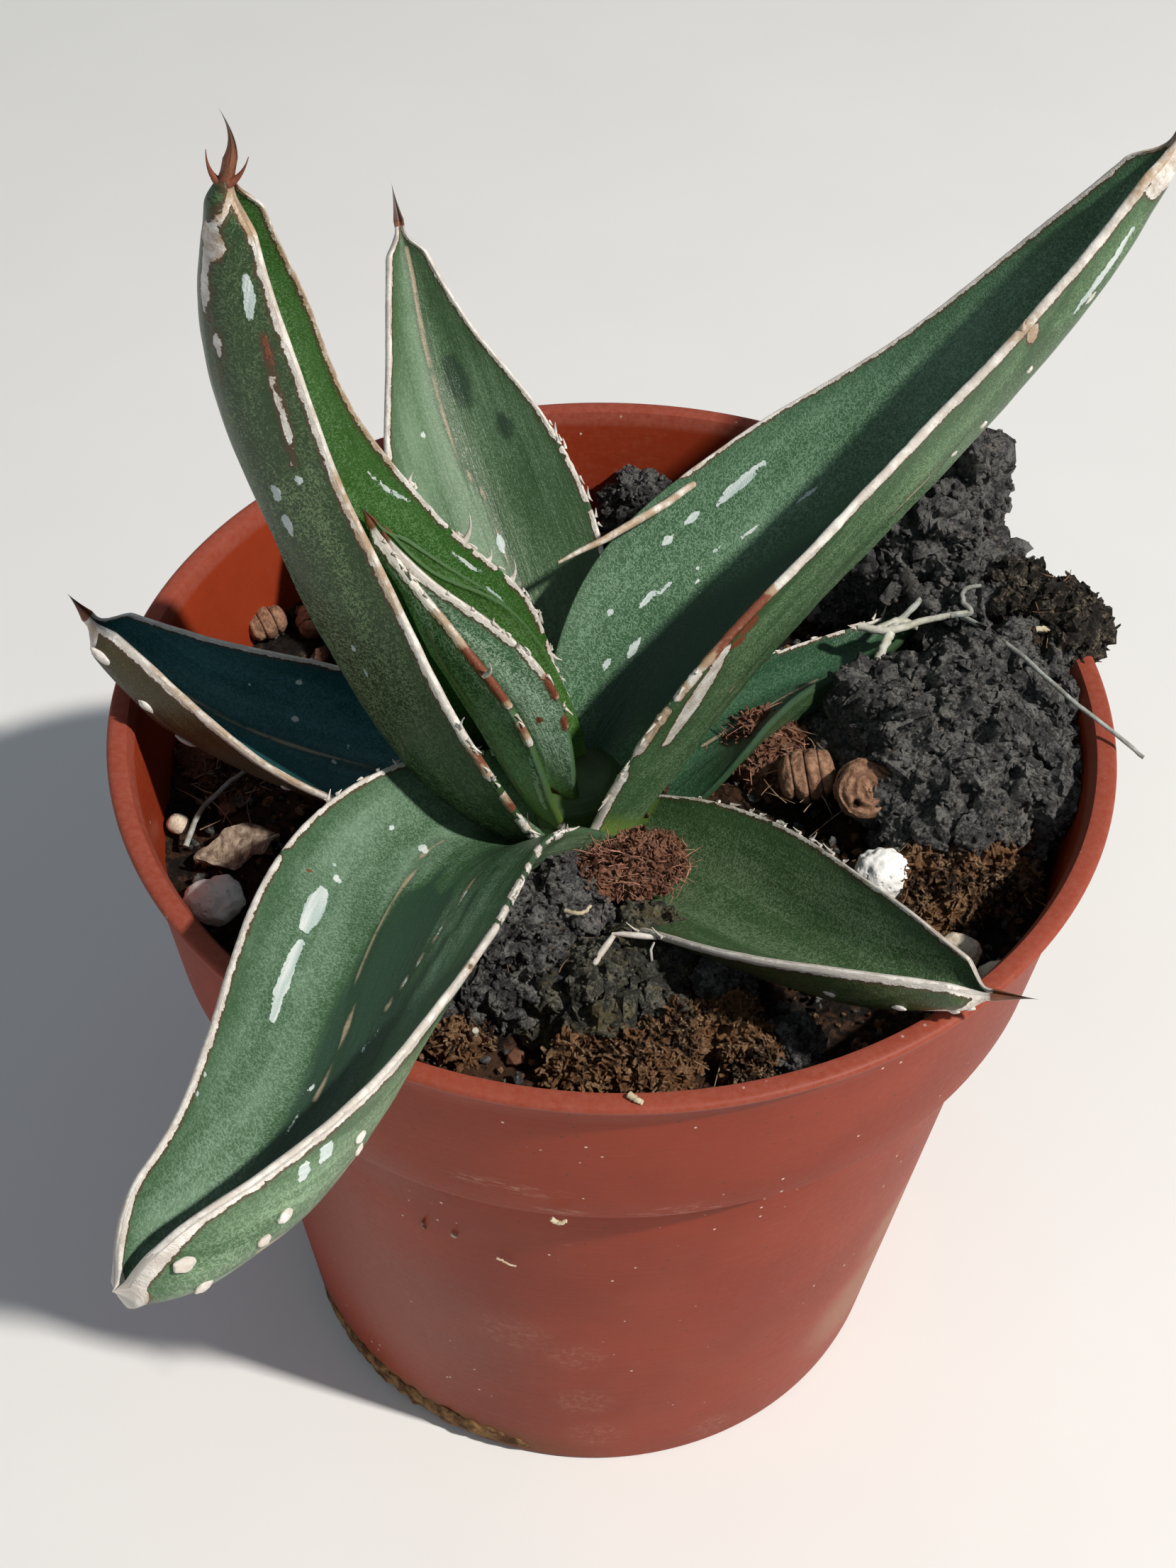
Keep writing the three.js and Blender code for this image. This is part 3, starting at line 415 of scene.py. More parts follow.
# Places on a leaf are (share of the length, share across), from -1 at the right margin to 1 at the left.
# margins: wear of the horn in stretches, then bare stretches, rough stretches and the thickness of the bead
leaves = {
    "leaf_heart_inner": {
        "base": (-5, -2.5, 84), "length": 38, "heading": (183, 186, 182, 170), "pitch": (71, 65, 57, 57),
        "roll": (10, -11, 10), "fold": (44, 61, 69, 69), "width": (8, 11, 12.5, 10.5, 6, 1.5),
        "thickness": 2.0, "spine": 1.5, "tone": "young", "slot": "leaf_young", "seed": 11,
        "foot": 0.12, "tipBrown": 0.97,
        "margins": {
            leftEdge: {"wear": [(0.0, 1.0, 0.16), (0.37, 0.46, 0.85), (0.27, 0.32, 0.85)],
                       "bare": [(0.32, 0.37), (0.0, 0.27)],
                       "rough": [(0.3, 0.8)], "bead": 0.55},
            rightEdge: {"bead": 0},
        },
        "film": [(underSide, 0.4, [(0.22, 0.55), (0.10, 0.45), (0.02, 0.35)]),
                 (underSide, 0.4, [(0.28, 0.3), (0.20, 0.3)])],
        "rust": [(underSide, 1.2, 0.03, 0.5), (underSide, 0.9, 0.33, 0.62)],
        "lines": [(underSide, [(0.4, -0.3), (0.1, -0.25)])],
    },
    "leaf_heart_outer": {
        "base": (-7, -3.5, 83), "length": 40, "heading": (188, 185, 177, 166), "pitch": (68, 68, 61, 60),
        "roll": (12, 10, 5), "fold": (38, 52, 62, 71), "width": (11, 14, 15.5, 12.5, 4.5, 1.5),
        "thickness": 2.2, "spine": 2.0, "tone": "heart", "slot": "leaf_young", "seed": 12,
        "foot": 0.30, "tipBrown": 0.97,
        "margins": {
            leftEdge: {"wear": [(0.76, 1.0, 0.05), (0.62, 0.76, 0.45), (0.47, 0.66, 0.88),
                        (0.36, 0.42, 0.7), (0.0, 0.3, 0.1)],
                       "bare": [(0.42, 0.46), (0.0, 0.33)], "rough": [(0.75, 1.0), (0.36, 0.45)],
                       "bead": 0.62},
            rightEdge: {"bead": 0},
        },
        "film": [(underSide, 0.4, [(0.30, 0.95), (0.2, 0.93), (0.08, 0.9)]),
                 (underSide, 0.3, [(0.25, 0.9), (0.05, 0.85)])],
        "lines": [(underSide, [(0.7, 0.5), (0.4, 0.45), (0.1, 0.4)])],
        "slim": 1.1, "teeth": [(0.565, leftEdge, 2.2, 0.6, 0.3)],
    },
    "leaf_tall": {
        "base": (-10.5, -4, 82), "length": 84, "heading": (198, 187, 184, 177), "pitch": (55, 67, 76, 104),
        "roll": (26, 4, -3), "fold": (53, 54, 64, 71), "width": (22, 33, 26.5, 20, 16.5, 3.5),
        "thickness": 3.4, "spine": 4.6, "lean": -2.0, "tone": "tall", "seed": 13,
        "foot": 0.13, "tipBrown": 0.960,
        "margins": {
            leftEdge: {"wear": [(0.14, 0.19, 0.72), (0.23, 0.28, 0.72), (0.45, 0.66, 0.42),
                        (0.66, 0.92, 0.24), (0.92, 1.0, 0.5)],
                       "bare": [(0.195, 0.22)], "rough": [(0.02, 0.34)], "bead": 0.62},
            rightEdge: {"wear": [(0.50, 0.95, 0.45), (0.95, 1.0, 0.8)], "rough": [(0.05, 0.5)], "bead": 0.62},
        },
        "film": [
            (underSide, 0.95, [(0.896, 0.73), (0.873, 0.74), (0.850, 0.70)]),
            (underSide, 0.9, [(0.650, 0.68), (0.641, 0.68)]),
            (underSide, 0.9, [(0.646, 0.45), (0.621, 0.41)]),
            (underSide, 1.0, [(0.598, 0.40), (0.571, 0.38)]),
            (underSide, 0.5, [(0.525, 0.06), (0.51, 0.08)]),
            (underSide, 0.6, [(0.47, 0.08), (0.45, 0.10)]),
            (underSide, 0.45, [(0.435, 0.1), (0.41, 0.12)]),
            (underSide, 0.5, [(0.446, 0.48), (0.444, 0.48)]),
            (underSide, 0.5, [(0.417, 0.50), (0.41, 0.50)]),
            (underSide, 0.4, [(0.383, 0.50), (0.37, 0.49)]),
            (underSide, 0.6, [(0.80, 0.02), (0.75, 0.05), (0.72, 0.06)]),
            (upperSide, 0.5, [(0.525, -0.80), (0.492, -0.82), (0.454, -0.92)]),
            (upperSide, 0.5, [(0.354, -0.88), (0.312, -0.90), (0.292, -0.92)]),
            (upperSide, 0.5, [(0.27, -0.86), (0.22, -0.88)]),
        ],
        "horn": [
            (underSide, 0.55, [(0.985, 0.46), (0.965, 0.38), (0.942, 0.30)], 0.40),
            (underSide, 1.9, [(0.930, 0.25), (0.910, 0.27)], 0.40),
            (underSide, 0.65, [(0.905, 0.21), (0.862, 0.21), (0.836, 0.25)], 0.14),
            (underSide, 0.55, [(0.828, 0.29), (0.80, 0.31)], 0.10),
            (underSide, 0.35, [(0.792, 0.27), (0.765, 0.27)], 0.10),
            (underSide, 0.60, [(0.796, 0.78), (0.733, 0.76), (0.70, 0.73), (0.665, 0.68)], 0.26),
            (underSide, 0.55, [(0.832, 0.80), (0.81, 0.79), (0.785, 0.77)], 0.85),
        ],
        "dark": [
            (underSide, 3.4, [(0.895, 0.55), (0.85, 0.55), (0.80, 0.55)], 0.26),
            (underSide, 0.7, [(0.79, 0.45), (0.72, 0.43), (0.62, 0.36)], 0.40),
            (underSide, 0.6, [(0.78, 0.60), (0.70, 0.58), (0.60, 0.52)], 0.40),
            (underSide, 0.6, [(0.80, 0.70), (0.70, 0.66), (0.63, 0.60)], 0.35),
            (underSide, 2.6, [(0.60, 0.30), (0.50, 0.28), (0.40, 0.25)], 0.22),
            (upperSide, 1.6, [(0.85, -0.45), (0.6, -0.55), (0.35, -0.65)], 0.20),
        ],
        "slim": 1.2,
        "teeth": [(0.978, leftEdge, 2.9, 0.30, 0.92), (0.972, 0, 3.0, 0.34, 0.92),
                  (0.35, rightEdge, 3.4, 0.5, 0.05),
                  (0.25, rightEdge, 2.6, 0.5, 0.05), (0.30, rightEdge, 1.4, 0.5, 0.1)],
    },
    "leaf_right": {
        "base": (0.5, -3, 81), "length": 91, "heading": (46, 34, 22, 22), "pitch": (54, 36, 48, 68),
        "roll": (17, 19, 12), "fold": (62, 46, 47, 63), "width": (20, 34, 32, 23, 15, 3.5),
        "thickness": 2.8, "spine": 6.0, "tone": "right", "seed": 14,
        "foot": 0.035, "tipBrown": 0.972,
        "margins": {
            leftEdge: {"wear": [(0.0, 0.33, 0.72), (0.33, 0.40, 0.35), (0.40, 0.93, 0.12), (0.93, 1.0, 0.45)],
                       "bare": [(0.0, 0.33)], "bead": 0.62},
            rightEdge: {"wear": [(0.10, 0.20, 0.45), (0.21, 0.32, 0.80), (0.71, 0.76, 0.42),
                        (0.76, 0.9, 0.24), (0.9, 1.0, 0.42)],
                        "bare": [(0.075, 0.095)], "rough": [(0.02, 0.20)], "bead": 0.75},
        },
        "film": [
            (upperSide, 1.15, [(0.338, 0.72), (0.371, 0.73), (0.407, 0.74)]),
            (upperSide, 0.9, [(0.30, 0.75), (0.318, 0.75)]),
            (upperSide, 1.0, [(0.268, 0.75), (0.28, 0.75)]),
            (upperSide, 0.9, [(0.20, 0.62), (0.22, 0.59), (0.24, 0.56)]),
            (upperSide, 0.8, [(0.175, 0.75), (0.178, 0.75)]),
            (upperSide, 0.6, [(0.172, 0.5), (0.174, 0.5)]),
            (upperSide, 0.8, [(0.15, 0.5), (0.17, 0.5)]),
            (upperSide, 0.8, [(0.12, 0.62), (0.134, 0.62)]),
            (upperSide, 0.6, [(0.10, 0.62), (0.102, 0.62)]),
            (upperSide, 0.42, [(0.278, 0.52), (0.262, 0.44), (0.25, 0.36)]),
            (upperSide, 0.5, [(0.30, 0.5), (0.33, 0.46), (0.36, 0.42)]),
            (upperSide, 0.45, [(0.40, 0.40), (0.45, 0.36)]),
            (underSide, 0.9, [(0.885, -0.52), (0.82, -0.50), (0.765, -0.46)]),
        ],
        "horn": [
            (underSide, 2.2, [(0.235, -0.95), (0.20, -0.87), (0.15, -0.80), (0.12, -0.78)], 0.22),
            (underSide, 3.0, [(0.985, -0.5), (0.955, -0.55), (0.93, -0.62)], 0.33),
            (underSide, 1.5, [(0.745, -0.9), (0.73, -0.8)], 0.45),
        ],
        "rust": [(upperSide, 2.6, 0.27, -0.93), (underSide, 2.2, 0.27, -0.96), (underSide, 1.6, 0.25, -0.90)],
        "lines": [
            (upperSide, [(0.12, -0.05), (0.3, -0.1), (0.5, -0.12), (0.75, -0.1)]),
            (upperSide, [(0.10, -0.55), (0.25, -0.6), (0.45, -0.65), (0.6, -0.7)]),
            (underSide, [(0.2, -0.5), (0.5, -0.5), (0.75, -0.55)]),
        ],
        "dark": [(upperSide, 3.0, [(0.10, 0.1), (0.3, 0.05), (0.6, 0.0), (0.85, 0.0)], 0.20),
                 # painted shade: a wide dark stroke over the lower blade, where the near half shades the face
                 (upperSide, 12.0, [(0.0, 0.45), (0.10, 0.38), (0.20, 0.22), (0.32, 0.05), (0.42, -0.05)],
                  0.66),
                 (upperSide, 1.2, [(0.08, -0.5), (0.3, -0.55), (0.55, -0.6)], 0.25)],
        "bumps": [(0.62, -0.4, 1.2, 0.6), (0.70, -0.45, 1.0, 0.6), (0.80, -0.4, 1.6, 0.5),
                  (0.575, -0.45, 0.8, 0.5)],
        "slim": 1.2, "teeth": [(0.735, rightEdge, 1.3, 0.5, 0.4)],
    },
    "leaf_back": {
        "base": (-4, 5.5, 79), "length": 62, "heading": (120, 121, 120, 111), "pitch": (37, 41, 46, 54),
        "roll": (0, 7, 1), "fold": (17, 26, 34, 46), "width": (14, 19, 23, 20, 10.5, 2.5),
        "thickness": 3.0, "spine": 4.0, "tone": "back", "seed": 15,
        "foot": 0.08, "tipBrown": 0.985, "tipTone": 0.80,
        "margins": {
            leftEdge: {"wear": [(0.0, 1.0, 0.10)], "rough": [(0.3, 0.5)], "bead": 0.72},
            rightEdge: {"wear": [(0.0, 0.6, 0.22), (0.6, 1.0, 0.05)], "rough": [(0.35, 0.6)], "bead": 0.66},
        },
        "film": [(upperSide, 0.9, [(0.632, 0.40), (0.626, 0.40)]),
                 (upperSide, 0.6, [(0.566, 0.68), (0.56, 0.68)]),
                 (upperSide, 1.0, [(0.42, -0.07), (0.39, -0.05)]),
                 (upperSide, 1.2, [(0.31, -0.05), (0.28, -0.05)])],
        "shade": (-1, 0.36, [(0.0, -0.15), (0.342, -0.10), (0.396, -0.07), (0.479, -0.10), (0.558, 0.03),
                    (0.637, 0.05),
                             (0.725, 0.03), (0.783, 0.03), (0.9, -0.10), (1.0, -0.15)]),
        "lines": [(upperSide, [(0.95, -0.15), (0.9, -0.10), (0.783, 0.04), (0.725, 0.04), (0.637, 0.06),
                    (0.558, 0.04), (0.479, -0.10),
                               (0.396, -0.07), (0.342, -0.10), (0.2, -0.12)])],
        "dark": [(upperSide, 2.4, [(0.74, -0.28), (0.665, -0.26)], 0.45),
                 (upperSide, 1.8, [(0.615, -0.57), (0.585, -0.56)], 0.45)],
        "slim": 1.0,
    },
    "leaf_front_left": {
        "base": (-3.5, -7.5, 78), "length": 91, "heading": (206, 254, 261, 225), "pitch": (47, 21, 13, 10),
        "roll": (5, 1, -19), "fold": (72, 32, 47, 78), "width": (15.5, 20, 24, 24, 20, 11.5),
        "thickness": 3.4, "spine": 1.0, "tone": "front", "seed": 16,
        "foot": 0.05, "tipBrown": 1.2,
        "margins": {
            leftEdge: {"wear": [(0.0, 0.55, 0.0), (0.56, 0.60, 0.48), (0.60, 1.0, 0.14)],
                       "bare": [(0.0, 0.17), (0.20, 0.25), (0.28, 0.31), (0.335, 0.35)],
                       "rough": [(0.15, 0.50)], "bead": 0.60},
            rightEdge: {"wear": [(0.0, 1.0, 0.06)], "bare": [(0.42, 0.43)], "rough": [(0.04, 0.34)],
                        "bead": 0.68},
        },
        "film": [
            (upperSide, 2.0, [(0.433, -0.575), (0.471, -0.57), (0.502, -0.575)]),
            (upperSide, 1.25, [(0.522, -0.55), (0.554, -0.57), (0.583, -0.56), (0.613, -0.57),
                        (0.650, -0.55)]),
            (upperSide, 1.0, [(0.398, -0.53), (0.408, -0.53)]),
            (upperSide, 0.6, [(0.385, -0.62), (0.39, -0.61)]),
            (upperSide, 0.9, [(0.283, -0.52), (0.288, -0.51)]),
            (upperSide, 1.2, [(0.265, -0.18), (0.277, -0.165)]),
            (upperSide, 0.6, [(0.783, -0.93), (0.787, -0.93)]),
            (upperSide, 0.6, [(0.812, -0.93), (0.815, -0.93)]),
            (upperSide, 0.4, [(0.358, 0.50), (0.40, 0.48), (0.458, 0.45)]),
            (upperSide, 0.4, [(0.50, 0.40), (0.525, 0.35), (0.56, 0.29)]),
            (upperSide, 0.5, [(0.588, 0.23), (0.633, 0.23), (0.66, 0.15)]),
            (upperSide, 0.4, [(0.69, -0.03), (0.713, -0.10), (0.771, -0.07)]),
            (underSide, 1.5, [(0.823, 0.86), (0.832, 0.80)]),
            (underSide, 1.2, [(0.848, 0.86), (0.855, 0.78)]),
        ],
        "horn": [(underSide, 1.5, [(1.0, 0.1), (0.992, 0.06)], 0.46)],
        "rust": [(upperSide, 0.5, 0.421, -0.75)],
        "shade": (1, 0.26, [(0.0, -0.2), (0.233, -0.13), (0.329, -0.05), (0.429, -0.03), (0.529, -0.03),
                    (0.654, 0.03), (1.0, 0.1)]),
        "lines": [
            (upperSide, [(0.233, -0.15), (0.263, -0.15), (0.329, -0.07), (0.379, -0.05), (0.429, -0.05),
                        (0.496, -0.05), (0.529, -0.05),
                         (0.654, 0.03), (0.72, 0.0)]),
            (upperSide, [(0.30, 0.53), (0.358, 0.50), (0.458, 0.45), (0.525, 0.35), (0.588, 0.24)]),
            (underSide, [(0.5, 0.5), (0.7, 0.5), (0.9, 0.3)]),
        ],
        "dark": [
            (upperSide, 1.5, [(0.24, 0.10), (0.35, 0.14), (0.50, 0.13), (0.62, 0.10)], 0.35),
            (upperSide, 1.2, [(0.28, 0.36), (0.42, 0.33), (0.55, 0.20), (0.68, 0.12)], 0.38),
            (upperSide, 1.0, [(0.30, 0.66), (0.45, 0.60), (0.58, 0.45), (0.70, 0.30)], 0.38),
            (upperSide, 1.6, [(0.30, 0.90), (0.45, 0.85), (0.60, 0.75)], 0.20),
            (upperSide, 2.2, [(0.30, -0.85), (0.50, -0.82), (0.68, -0.85)], 0.14),
            (upperSide, 3.0, [(0.20, -0.32), (0.35, -0.30), (0.50, -0.28)], 0.12),
            # painted shadow: a wide dark stroke down the channel, where the near half shades the face
            (upperSide, 7.4, [(0.38, 0.14), (0.48, 0.08), (0.60, 0.06), (0.70, 0.08), (0.82, 0.10),
                        (0.93, 0.10)], 0.80),
        ],
        "bumps": [(0.963, 0.65, 2.3, 1.3), (0.950, 0.28, 1.7, 1.2), (0.896, 0.40, 1.5, 1.1),
                  (0.875, 0.53, 1.7, 1.1),
                  (0.783, 0.65, 1.6, 1.1), (0.779, 0.48, 1.1, 0.9), (0.70, 0.3, 1.0, 0.6)],
        "teeth": [(0.578, leftEdge, 1.0, 0.6, 0.45)],
        "tipHorn": 0.9940, "tipReach": 0.8, "taper": 0.0, "tipRadius": 1.1,
    },
    "leaf_front_right": {
        "base": (1.5, -9, 78.5), "length": 51, "heading": (-40, -51, -42, -25), "pitch": (25, 20.5, 22.5, 22),
        "roll": (-19, -5, 4), "fold": (8, 28, 45, 71), "width": (17, 19.5, 20, 17.5, 12.5, 3.5),
        "thickness": 2.9, "spine": 4.2, "slim": 1.1, "tone": "low", "seed": 17,
        "foot": 0.025, "tipBrown": 0.985,
        "margins": {
            leftEdge: {"wear": [(0.0, 1.0, 0.32)], "rough": [(0.05, 0.55)], "bead": 0.50},
            rightEdge: {"wear": [(0.0, 1.0, 0.12)], "bare": [(0.09, 0.16)], "rough": [(0.0, 0.4)],
                        "bead": 0.52},
        },
        "film": [(upperSide, 0.35, [(0.10, -0.3), (0.2, -0.35)])],
        "horn": [
            (underSide, 1.3, [(0.985, 0.0), (0.93, -0.12), (0.88, -0.22)], 0.34),
        ],
        "dark": [(upperSide, 1.6, [(0.25, -0.45), (0.5, -0.55), (0.8, -0.6)], 0.30),
                 (upperSide, 2.5, [(0.1, 0.1), (0.4, 0.05), (0.7, 0.0)], 0.15)],
        "bumps": [(0.72, -0.60, 1.4, 0.7), (0.84, -0.40, 1.6, 0.8), (0.925, -0.22, 1.2, 0.8),
                  (0.95, -0.15, 1.0, 0.7)],
    },
    "leaf_left": {
        "base": (-11, -0.5, 79), "length": 50, "heading": (191, 188, 175, 157), "pitch": (28, 23, 28, 44),
        "roll": (1, 18, -14), "fold": (12, 32, 61, 76), "width": (14, 17, 18, 17, 12.5, 5),
        "thickness": 3.2, "spine": 3.0, "tone": "shaded", "slot": "leaf_shaded", "seed": 18,
        "foot": 0.03, "tipBrown": 0.99,
        "margins": {
            leftEdge: {"wear": [(0.3, 0.85, 0.38), (0.85, 1.0, 0.2)], "rough": [(0.1, 0.4)], "bead": 0.58},
            rightEdge: {"wear": [(0.2, 1.0, 0.22)], "bead": 0.55},
        },
        "film": [(upperSide, 1.0, [(0.525, -0.72), (0.53, -0.7)]),
                 (upperSide, 0.6, [(0.625, -0.5), (0.628, -0.5)]),
                 (upperSide, 0.8, [(0.50, -0.27), (0.51, -0.25)]),
                 (upperSide, 0.6, [(0.375, -0.12), (0.38, -0.12)]),
                 (upperSide, 0.7, [(0.40, 0.12), (0.408, 0.14)])],
        "horn": [(underSide, 2.0, [(1.0, 0.2), (0.96, 0.15), (0.93, 0.05)], 0.36)],
        "lines": [(upperSide, [(0.3, 0.1), (0.6, 0.05), (0.8, 0.0)]), (underSide, [(0.5, 0.5), (0.8, 0.45)])],
        "bumps": [(0.925, 0.42, 2.6, 1.2), (0.90, 0.08, 1.2, 0.8), (0.80, 0.45, 2.0, 1.0),
                  (0.825, 0.05, 1.0, 0.6),
                  (0.70, 0.32, 2.4, 1.0), (0.74, 0.1, 1.8, 0.6), (0.5, 0.70, 1.2, 0.7)],
        "slim": 1.6, "teeth": [(0.42, leftEdge, 1.3, 0.6, 0.2)],
    },
    "leaf_back_right": {
        "base": (4, 2, 79), "length": 38, "heading": (34, 33, 34, 45), "pitch": (20, 13, 9, 11),
        "roll": (-7, 27, 0), "fold": (13, 26, 31, 37), "width": (12.5, 15, 15, 12, 6.5, 1.5),
        "thickness": 2.6, "spine": 2.0, "tone": "short", "seed": 19,
        "foot": 0.05, "tipBrown": 1.2,
        "margins": {
            leftEdge: {"wear": [(0.0, 0.5, 0.25), (0.5, 1.0, 0.10)], "rough": [(0.4, 1.0)], "bead": 0.58},
            rightEdge: {"bead": 0},
        },
        "lines": [(upperSide, [(0.2, 0.0), (0.6, 0.0)])],
        "slim": 1.1,
    },
}


def along(values, t):  # a smooth curve through evenly spaced values
    last = len(values) - 1
    x = clamp(t) * last
    i = min(int(x), last - 1)
    before = values[i - 1] if i > 0 else 2 * values[0] - values[1]
    after = values[i + 2] if i + 2 <= last else 2 * values[last] - values[last - 1]
    f = x - i
    b, c = values[i], values[i + 1]
    return b + f * ((c - before) / 2 + f
                * (before - 2.5 * b + 2 * c - after / 2 + f * (1.5 * (b - c) + (after - before) / 2)))


def leafFrame(leaf, t):  # forward, up out of the face, and left
    heading = math.radians(along(leaf["heading"], t))
    pitch = math.radians(along(leaf["pitch"], t))
    roll = math.radians(along(leaf["roll"], t))
    forward = Vector((math.cos(pitch) * math.cos(heading), math.cos(pitch) * math.sin(heading),
                math.sin(pitch)))
    level = Vector((-math.sin(heading), math.cos(heading), 0))
    face = forward.cross(level)
    up = face * math.cos(roll) + level * math.sin(roll)
    return forward, up, level * math.cos(roll) - face * math.sin(roll)


def leafLine(leaf, steps=200):
    points = [Vector(leaf["base"])]
    for i in range(steps):
        points.append(points[-1] + leafFrame(leaf, (i + 0.5) / steps)[0] * (leaf["length"] / steps))
    return points


def leafRow(leaf, t):  # all that the section at t needs
    inside = clamp(t)
    forward, up, left = leafFrame(leaf, inside)
    steps = len(leaf["line"]) - 1
    i = min(int(inside * steps), steps - 1)
    point = leaf["line"][i].lerp(leaf["line"][i + 1],
                inside * steps - i) + forward * ((t - inside) * leaf["length"])
    end = clamp((t - leafShare["blunt"]) / (1 - leafShare["blunt"]))
    width = max(along(leaf["width"], inside) * math.sqrt(1 - end * end),
                2 * leaf.get("tipRadius", leafShare["tipRadius"]))
    if "slim" in leaf:
        width += (leaf["slim"] - width) * smoothStep(inside, 0.935, 0.985)
    fold = math.radians(along(leaf["fold"], inside))
    lateral, rise = [0.0], [0.0]
    slices = leafShare["slices"]
    for k in range(slices):
        angle = fold * smoothStep((k + 0.5) / slices, 0, leafShare["bend"])
        lateral.append(lateral[-1] + math.cos(angle) * width / 2 / slices)
        rise.append(rise[-1] + math.sin(angle) * width / 2 / slices)
    fullness = clamp(1.3 * width / max(leaf["width"]), 0.35, 1.0)
    taper = 1 - leaf.get("taper", leafShare["taper"]) * smoothStep(inside, 0.945, 0.988)
    return {"t": t, "point": point, "forward": forward, "up": up, "left": left, "half": width / 2,
            "fold": fold,
            "lateral": lateral, "rise": rise, "fullness": fullness, "taper": taper,
            "thickness": leaf["thickness"], "seed": leaf["seed"],
            "length": leaf["length"]}


def sectionPoint(row, across, under):  # under runs from 0 on the upper side to 1 on the underside
    slices = leafShare["slices"]
    side = 1 if across >= 0 else -1
    share = abs(across) * slices
    i = min(int(share), slices - 1)
    lateral = row["lateral"][i] + (share - i) * (row["lateral"][i + 1] - row["lateral"][i])
    rise = row["rise"][i] + (share - i) * (row["rise"][i + 1] - row["rise"][i])
    angle = row["fold"] * smoothStep(abs(across), 0, leafShare["bend"])
    normal = row["up"] * math.cos(angle) - row["left"] * (side * math.sin(angle))
    outward = row["left"] * (side * math.cos(angle)) + row["up"] * math.sin(angle)
    flesh = leafShare["margin"] + (row["thickness"] - leafShare["margin"]) * (1 - across
                * across) * row["fullness"]
    flesh *= row["taper"]
    ridge = leafShare["keel"] * row["fullness"] * max(0.0, 1 - abs(across) / 0.12)
    bead = leafShare["bead"] * smoothStep(abs(across), 0.9, 1.0)
    x, y = row["t"] * row["length"], across * row["half"]
    swell = 0.16 * ripple(x * 0.10, y * 0.16, row["seed"]) + 0.06 * ripple(x * 0.30, y * 0.6, row["seed"] + 9)
    depth = (1 - under) * bead - under * (flesh + ridge) + swell
    bulge = 0.12 * math.sin(math.pi * under) if abs(across) == 1 else 0.0
    return row["point"] + row["left"] * (side * lateral) + row["up"] * rise + normal * depth + outward * bulge


def pathDistance(x, y, path, width=0.0):  # to the edge of a stroke that thins towards both ends
    best, done = 1e9, 0.0
    total = sum(math.dist(a, b) for a, b in zip(path, path[1:]))
    for (ax, ay), (bx, by) in zip(path, path[1:]):
        dx, dy = bx - ax, by - ay
        f = clamp(((x - ax) * dx + (y - ay) * dy) / max(dx * dx + dy * dy, 1e-9))
        place = (done + f * math.hypot(dx, dy)) / max(total, 1e-9)
        done += math.hypot(dx, dy)
        reach = math.hypot(x - ax - f * dx, y - ay - f * dy)
        best = min(best, reach - width / 2 * (0.35 + 0.65 * math.sin(math.pi * clamp(place, 0.06,
                    0.94)) ** 0.6))
    return best


def sectionSteps():  # place across and depth for each step round a leaf, starting at its left margin
    upper, lower, edge = leafShare["upperSteps"], leafShare["lowerSteps"], leafShare["edgeSteps"]
    steps = [(math.sin(math.pi / 2 * (1 - 2 * i / upper)), 0.0) for i in range(upper)]
    steps += [(-1, i / edge) for i in range(edge)]
    steps += [(-math.sin(math.pi / 2 * (1 - 2 * i / lower)), 1.0) for i in range(lower)]
    steps += [(1, 1 - i / edge) for i in range(edge + 1)]
    return steps


def setAttribute(piece, name, vectors):
    made = piece.data.attributes.new(name, "FLOAT_VECTOR", "POINT")
    made.data.foreach_set("vector", [value for vector in vectors for value in vector])


def gridSkin(name, columns, rows):  # a grid of faces to be laid over a shape
    deselectAll()
    bpy.ops.mesh.primitive_grid_add(x_subdivisions=columns, y_subdivisions=rows, size=2)
    return named(name)


def closeSkin(piece, inward=False):
    pick(piece)
    bpy.ops.object.mode_set(mode="EDIT")
    bpy.ops.mesh.select_all(action="SELECT")
    bpy.ops.mesh.remove_doubles(threshold=0.000004)
    bpy.ops.mesh.normals_make_consistent(inside=inward)
    bpy.ops.object.mode_set(mode="OBJECT")


def inStretch(stretches, t, soft=0.008):  # how far t lies inside one of the stretches
    inside = 0.0
    for start, end in stretches:
        inside = max(inside, smoothStep(t, start - soft,
                    start + soft) * (1 - smoothStep(t, end - soft, end + soft)))
    return inside


def wearAt(leaf, side, t):
    worn = 0.0
    for start, end, amount in leaf["margins"][side].get("wear", []):
        worn = max(worn, amount * inStretch([(start, end)], t + 0.012 * ripple(t * 40, start * 9, side),
                    0.022))
    return worn


def hornPresence(leaf, side, t):  # 1 where the horn is whole, 0 where it has come off
    margin = leaf["margins"][side]
    s, seed = t * leaf["length"], leaf["seed"] + 5 * side
    rough = inStretch(margin.get("rough", []), t, 0.03)
    chip = smoothStep(ripple(s * 0.45, seed, 21) + 0.5 * ripple(s * 1.5, seed, 23), 0.30, 0.40) * rough
    return (1 - inStretch(margin.get("bare", []), t)) * (1 - chip)


def shadeAt(leaf, t, across):  # the half of the face beyond the crease loses its haze: partly haze rubbed off, partly painted shade for the half turned away from the light
    if "shade" not in leaf:
        return 0.0
    side, amount, path = leaf["shade"]
    for (t0, a0), (t1, a1) in zip(path, path[1:]):
        if t0 <= t <= t1:
            crease = a0 + (a1 - a0) * (t - t0) / (t1 - t0)
            return amount * smoothStep(side * (across - crease), -0.04, 0.06) * smoothStep(t, 0.0, 0.1)
    return 0.0


